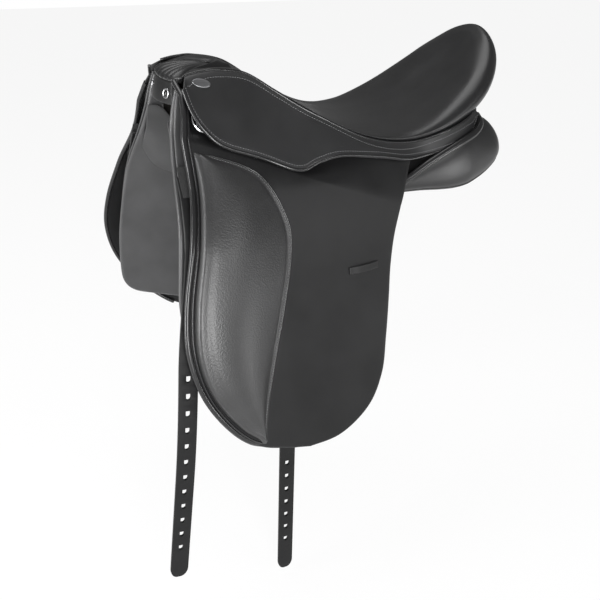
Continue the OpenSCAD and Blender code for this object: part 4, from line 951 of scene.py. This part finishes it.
def skirt_place(flat, lift):
    u, v = flat[..., 0] / SKIRT_STEP, -flat[..., 1] / SKIRT_DROP
    t, l = along(skirt_top, u), along(skirt_low, u)
    p = t + (l - t) * v[..., None]
    top_y = curve(welt_y, np.maximum(t[..., 0], welt_y[0][0])) + 1
    hung_y = side_y(l[..., 0], l[..., 1]) + FLAP_T + 1.2
    low_y = hung_y + (top_y + 5 - hung_y) * ease((u - 8.5) / 1.4)
    y = top_y + (low_y - top_y) * v
    y = y + (side_y(p[..., 0], p[..., 1]) + FLAP_T + 1.2 - y) * 0.35 * ease(7 - u)
    return np.stack([p[..., 0], y + lift, p[..., 1]], -1)


skirt_leather = leather("skirt_leather", (0.0118, 0.0118, 0.0123), 0.46, 1300.0, 0.00004, worn=0.8)
u, v = np.meshgrid(12 * SKIRT_STEP * closer_at_ends(221), -SKIRT_DROP * closer_at_ends(49), indexing="ij")
skirt_flat = np.stack([u, v], -1)


def on_skirt(share, lift, side, start=0.0, end=12.0):
    u = np.linspace(start, end, 400)
    inner = np.stack([u * SKIRT_STEP, -SKIRT_DROP * np.broadcast_to(share, u.shape)], -1)
    return skirt_place(inner, lift) * (1, side, 1)


run = np.linspace(0, 12, 400)
depth = np.linalg.norm(along(skirt_top, run) - along(skirt_low, run), axis=1)
low_row, top_row = 1 - np.minimum(5 / depth, 0.4), np.minimum(6 / depth, 0.4)
for name, side in SIDES.items():
    skirt = leather_sheet(f"{name}_skirt_leather", skirt_flat, skirt_place, SKIRT_T, skirt_leather, side)
    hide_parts(f"{name}_skirt", f"{name}_skirt_band")
    bend(skirt, f"{name}_skirt", lift_front, lift_rear, *SKIRT_BEND)
    line = on_skirt(1, SKIRT_T / 2 + 0.3, side)
    piping = along_seam(f"{name}_skirt_piping", line, welts, piping_leather, Radius=SKIRT_PIPING_R * MM)
    bend(piping, f"{name}_skirt", lift_front, lift_rear, *SKIRT_BEND)
    line = on_skirt(low_row, SKIRT_T + 0.1, side, 0.3, 11.8)
    rows = along_seam(f"{name}_skirt_stitches", line, stitches, waxed_thread)
    bend(rows, f"{name}_skirt", lift_front, lift_rear, *SKIRT_BEND)
    line = on_skirt(0, 1.4, side) + (0, 0, 0.4)
    seat_welt = along_seam(f"{name}_seat_welt", line, welts, piping_leather, Radius=SEAT_WELT_R * MM)
    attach(seat_welt, "saddle")
    line = on_skirt(top_row, SKIRT_T + 0.1, side, 0.6, 11.6)
    top_rows = along_seam(f"{name}_welt_stitches", line, stitches, waxed_thread)
    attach(top_rows, "saddle")

# The plate: a plain oval of grey metal with a raised, rounded rim, pressed from sheet and clenched through the front
# of the near skirt only.
PLATE_L, PLATE_W = 23, 12
at, ahead, below = (skirt_place(np.array(p), SKIRT_T - 0.2) for p in ((38, -8), (40, -8), (38, -10)))
ahead = (ahead - at) / np.linalg.norm(ahead - at)
out = np.cross(ahead, below - at)
out *= np.sign(out[1]) / np.linalg.norm(out)
rise = np.cross(out, ahead)
plate_profile = [(0, 1.5), (0.5, 1.5), (0.8, 1.45), (0.86, 1.6), (0.93, 1.6), (0.98, 1.2), (1, 0.6), (1, 0), (0, 0)]
disc = [[at + out * h + (ahead * math.cos(a) * PLATE_L / 2 + rise * math.sin(a) * PLATE_W / 2) * r for a in spin]
        for r, h in plate_profile]
plate_metal = steel("plate_metal", (0.3, 0.3, 0.31), 0.3, 0.42)
plate = from_grid("oval_plate", np.array(disc) * (1, -1, 1), plate_metal, closed=True)
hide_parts("skirt_plate")
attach(plate, "saddle")

# The studio: a white background and a pale floor below the straps. Five soft lights stand above, to the left, in front
# and low on the right.
FLOOR_Z, FLOOR_HW = -0.56, 6
WHITE = (1, 1, 1, 1)


def seen_by(tree, *rays):
    path = add_node(tree, "ShaderNodeLightPath").outputs
    either = add_node(tree, "ShaderNodeMath", {i: path[ray] for i, ray in enumerate(rays)}, operation="MAXIMUM")
    return either.outputs["Value"]


def pale_floor():
    finish, tree, shader = new_finish("pale_floor")
    feed(tree, shader, {"Base Color": (0.9, 0.9, 0.9, 1), "Roughness": 0.9})
    white = add_node(tree, "ShaderNodeEmission", {"Color": WHITE, "Strength": 1.0}).outputs["Emission"]
    seen = seen_by(tree, "Is Camera Ray", "Is Glossy Ray")
    share = add_node(tree, "ShaderNodeMath", {0: seen, 1: 0.9}, operation="MULTIPLY").outputs["Value"]
    mixed = add_node(tree, "ShaderNodeMixShader", {0: share, 1: shader.outputs["BSDF"], 2: white})
    feed(tree, tree.nodes["Material Output"], {"Surface": mixed.outputs["Shader"]})
    return finish


floor_mesh = bpy.data.meshes.new("floor")
corners = [(x * FLOOR_HW, y * FLOOR_HW, FLOOR_Z) for x, y in ((-1, -1), (1, -1), (1, 1), (-1, 1))]
floor_mesh.from_pydata(corners, [], [(0, 1, 2, 3)])
floor = as_piece("floor", floor_mesh, pale_floor())

world = bpy.data.worlds.new("studio")
bpy.context.scene.world = world
world.use_nodes = True
sky = world.node_tree
ambient = sky.nodes["Background"]
feed(sky, ambient, {"Color": WHITE, "Strength": 0.22})
backdrop = add_node(sky, "ShaderNodeBackground", {"Color": WHITE, "Strength": 1.0}).outputs["Background"]
seen = seen_by(sky, "Is Camera Ray", "Is Transmission Ray")
shown = add_node(sky, "ShaderNodeMixShader", {0: seen, 1: ambient.outputs["Background"], 2: backdrop})
feed(sky, sky.nodes["World Output"], {"Surface": shown.outputs["Shader"]})


def soft_light(name, at, towards, width, height, power):
    lamp = bpy.data.lights.new(name, "AREA")
    lamp.shape, lamp.size, lamp.size_y, lamp.energy = "RECTANGLE", width, height, power
    light = bpy.data.objects.new(name, lamp)
    light.location = at
    light.rotation_euler = (Vector(towards) - Vector(at)).to_track_quat("-Z", "Y").to_euler()
    bpy.context.scene.collection.objects.link(light)


soft_light("overhead", (-0.2, 0.6, 2.2), (0, 0, 0), 1.6, 1.2, 20)
soft_light("left", (-2.2, -0.3, 0.15), (-0.1, -0.1, -0.15), 0.7, 2.2, 70)
soft_light("front", (0.9, -2.1, 0.85), (0, -0.1, 0), 1.0, 0.4, 11)
soft_light("front_left", (-0.6, -2.1, 0.3), (-0.15, -0.1, -0.05), 0.7, 1.3, 46)
soft_light("right", (1.5, -1.5, -0.42), (0.2, -0.1, 0.02), 0.6, 0.2, 7)

# The camera: it stands off the near shoulder, above the saddle, and looks down at the flap, tilted a little to one
# side. The focal length is given in pixels of a square picture.
AZIMUTH, ELEVATION, ROLL, DISTANCE = math.radians(-25.19), math.radians(27.16), math.radians(1.59), 1.2003
FOCAL_PX, PICTURE_PX, SENSOR = 805.92, 600, 36
target = Vector((-0.02288, -0.03645, -0.19508))
level = math.cos(ELEVATION)
back = Vector((math.sin(AZIMUTH) * level, -math.cos(AZIMUTH) * level, math.sin(ELEVATION)))
right = Vector((math.cos(AZIMUTH), math.sin(AZIMUTH), 0))
up = back.cross(right)
tilted = right * math.cos(ROLL) + up * math.sin(ROLL)
upright = up * math.cos(ROLL) - right * math.sin(ROLL)
lens = bpy.data.cameras.new("camera")
lens.lens, lens.sensor_width = FOCAL_PX / PICTURE_PX * SENSOR, SENSOR
camera = bpy.data.objects.new("camera", lens)
camera.matrix_world = Matrix((tilted, upright, back)).transposed().to_4x4()
camera.location = target + back * DISTANCE
bpy.context.scene.collection.objects.link(camera)
bpy.context.scene.camera = camera
bpy.context.scene.view_settings.view_transform = "Standard"
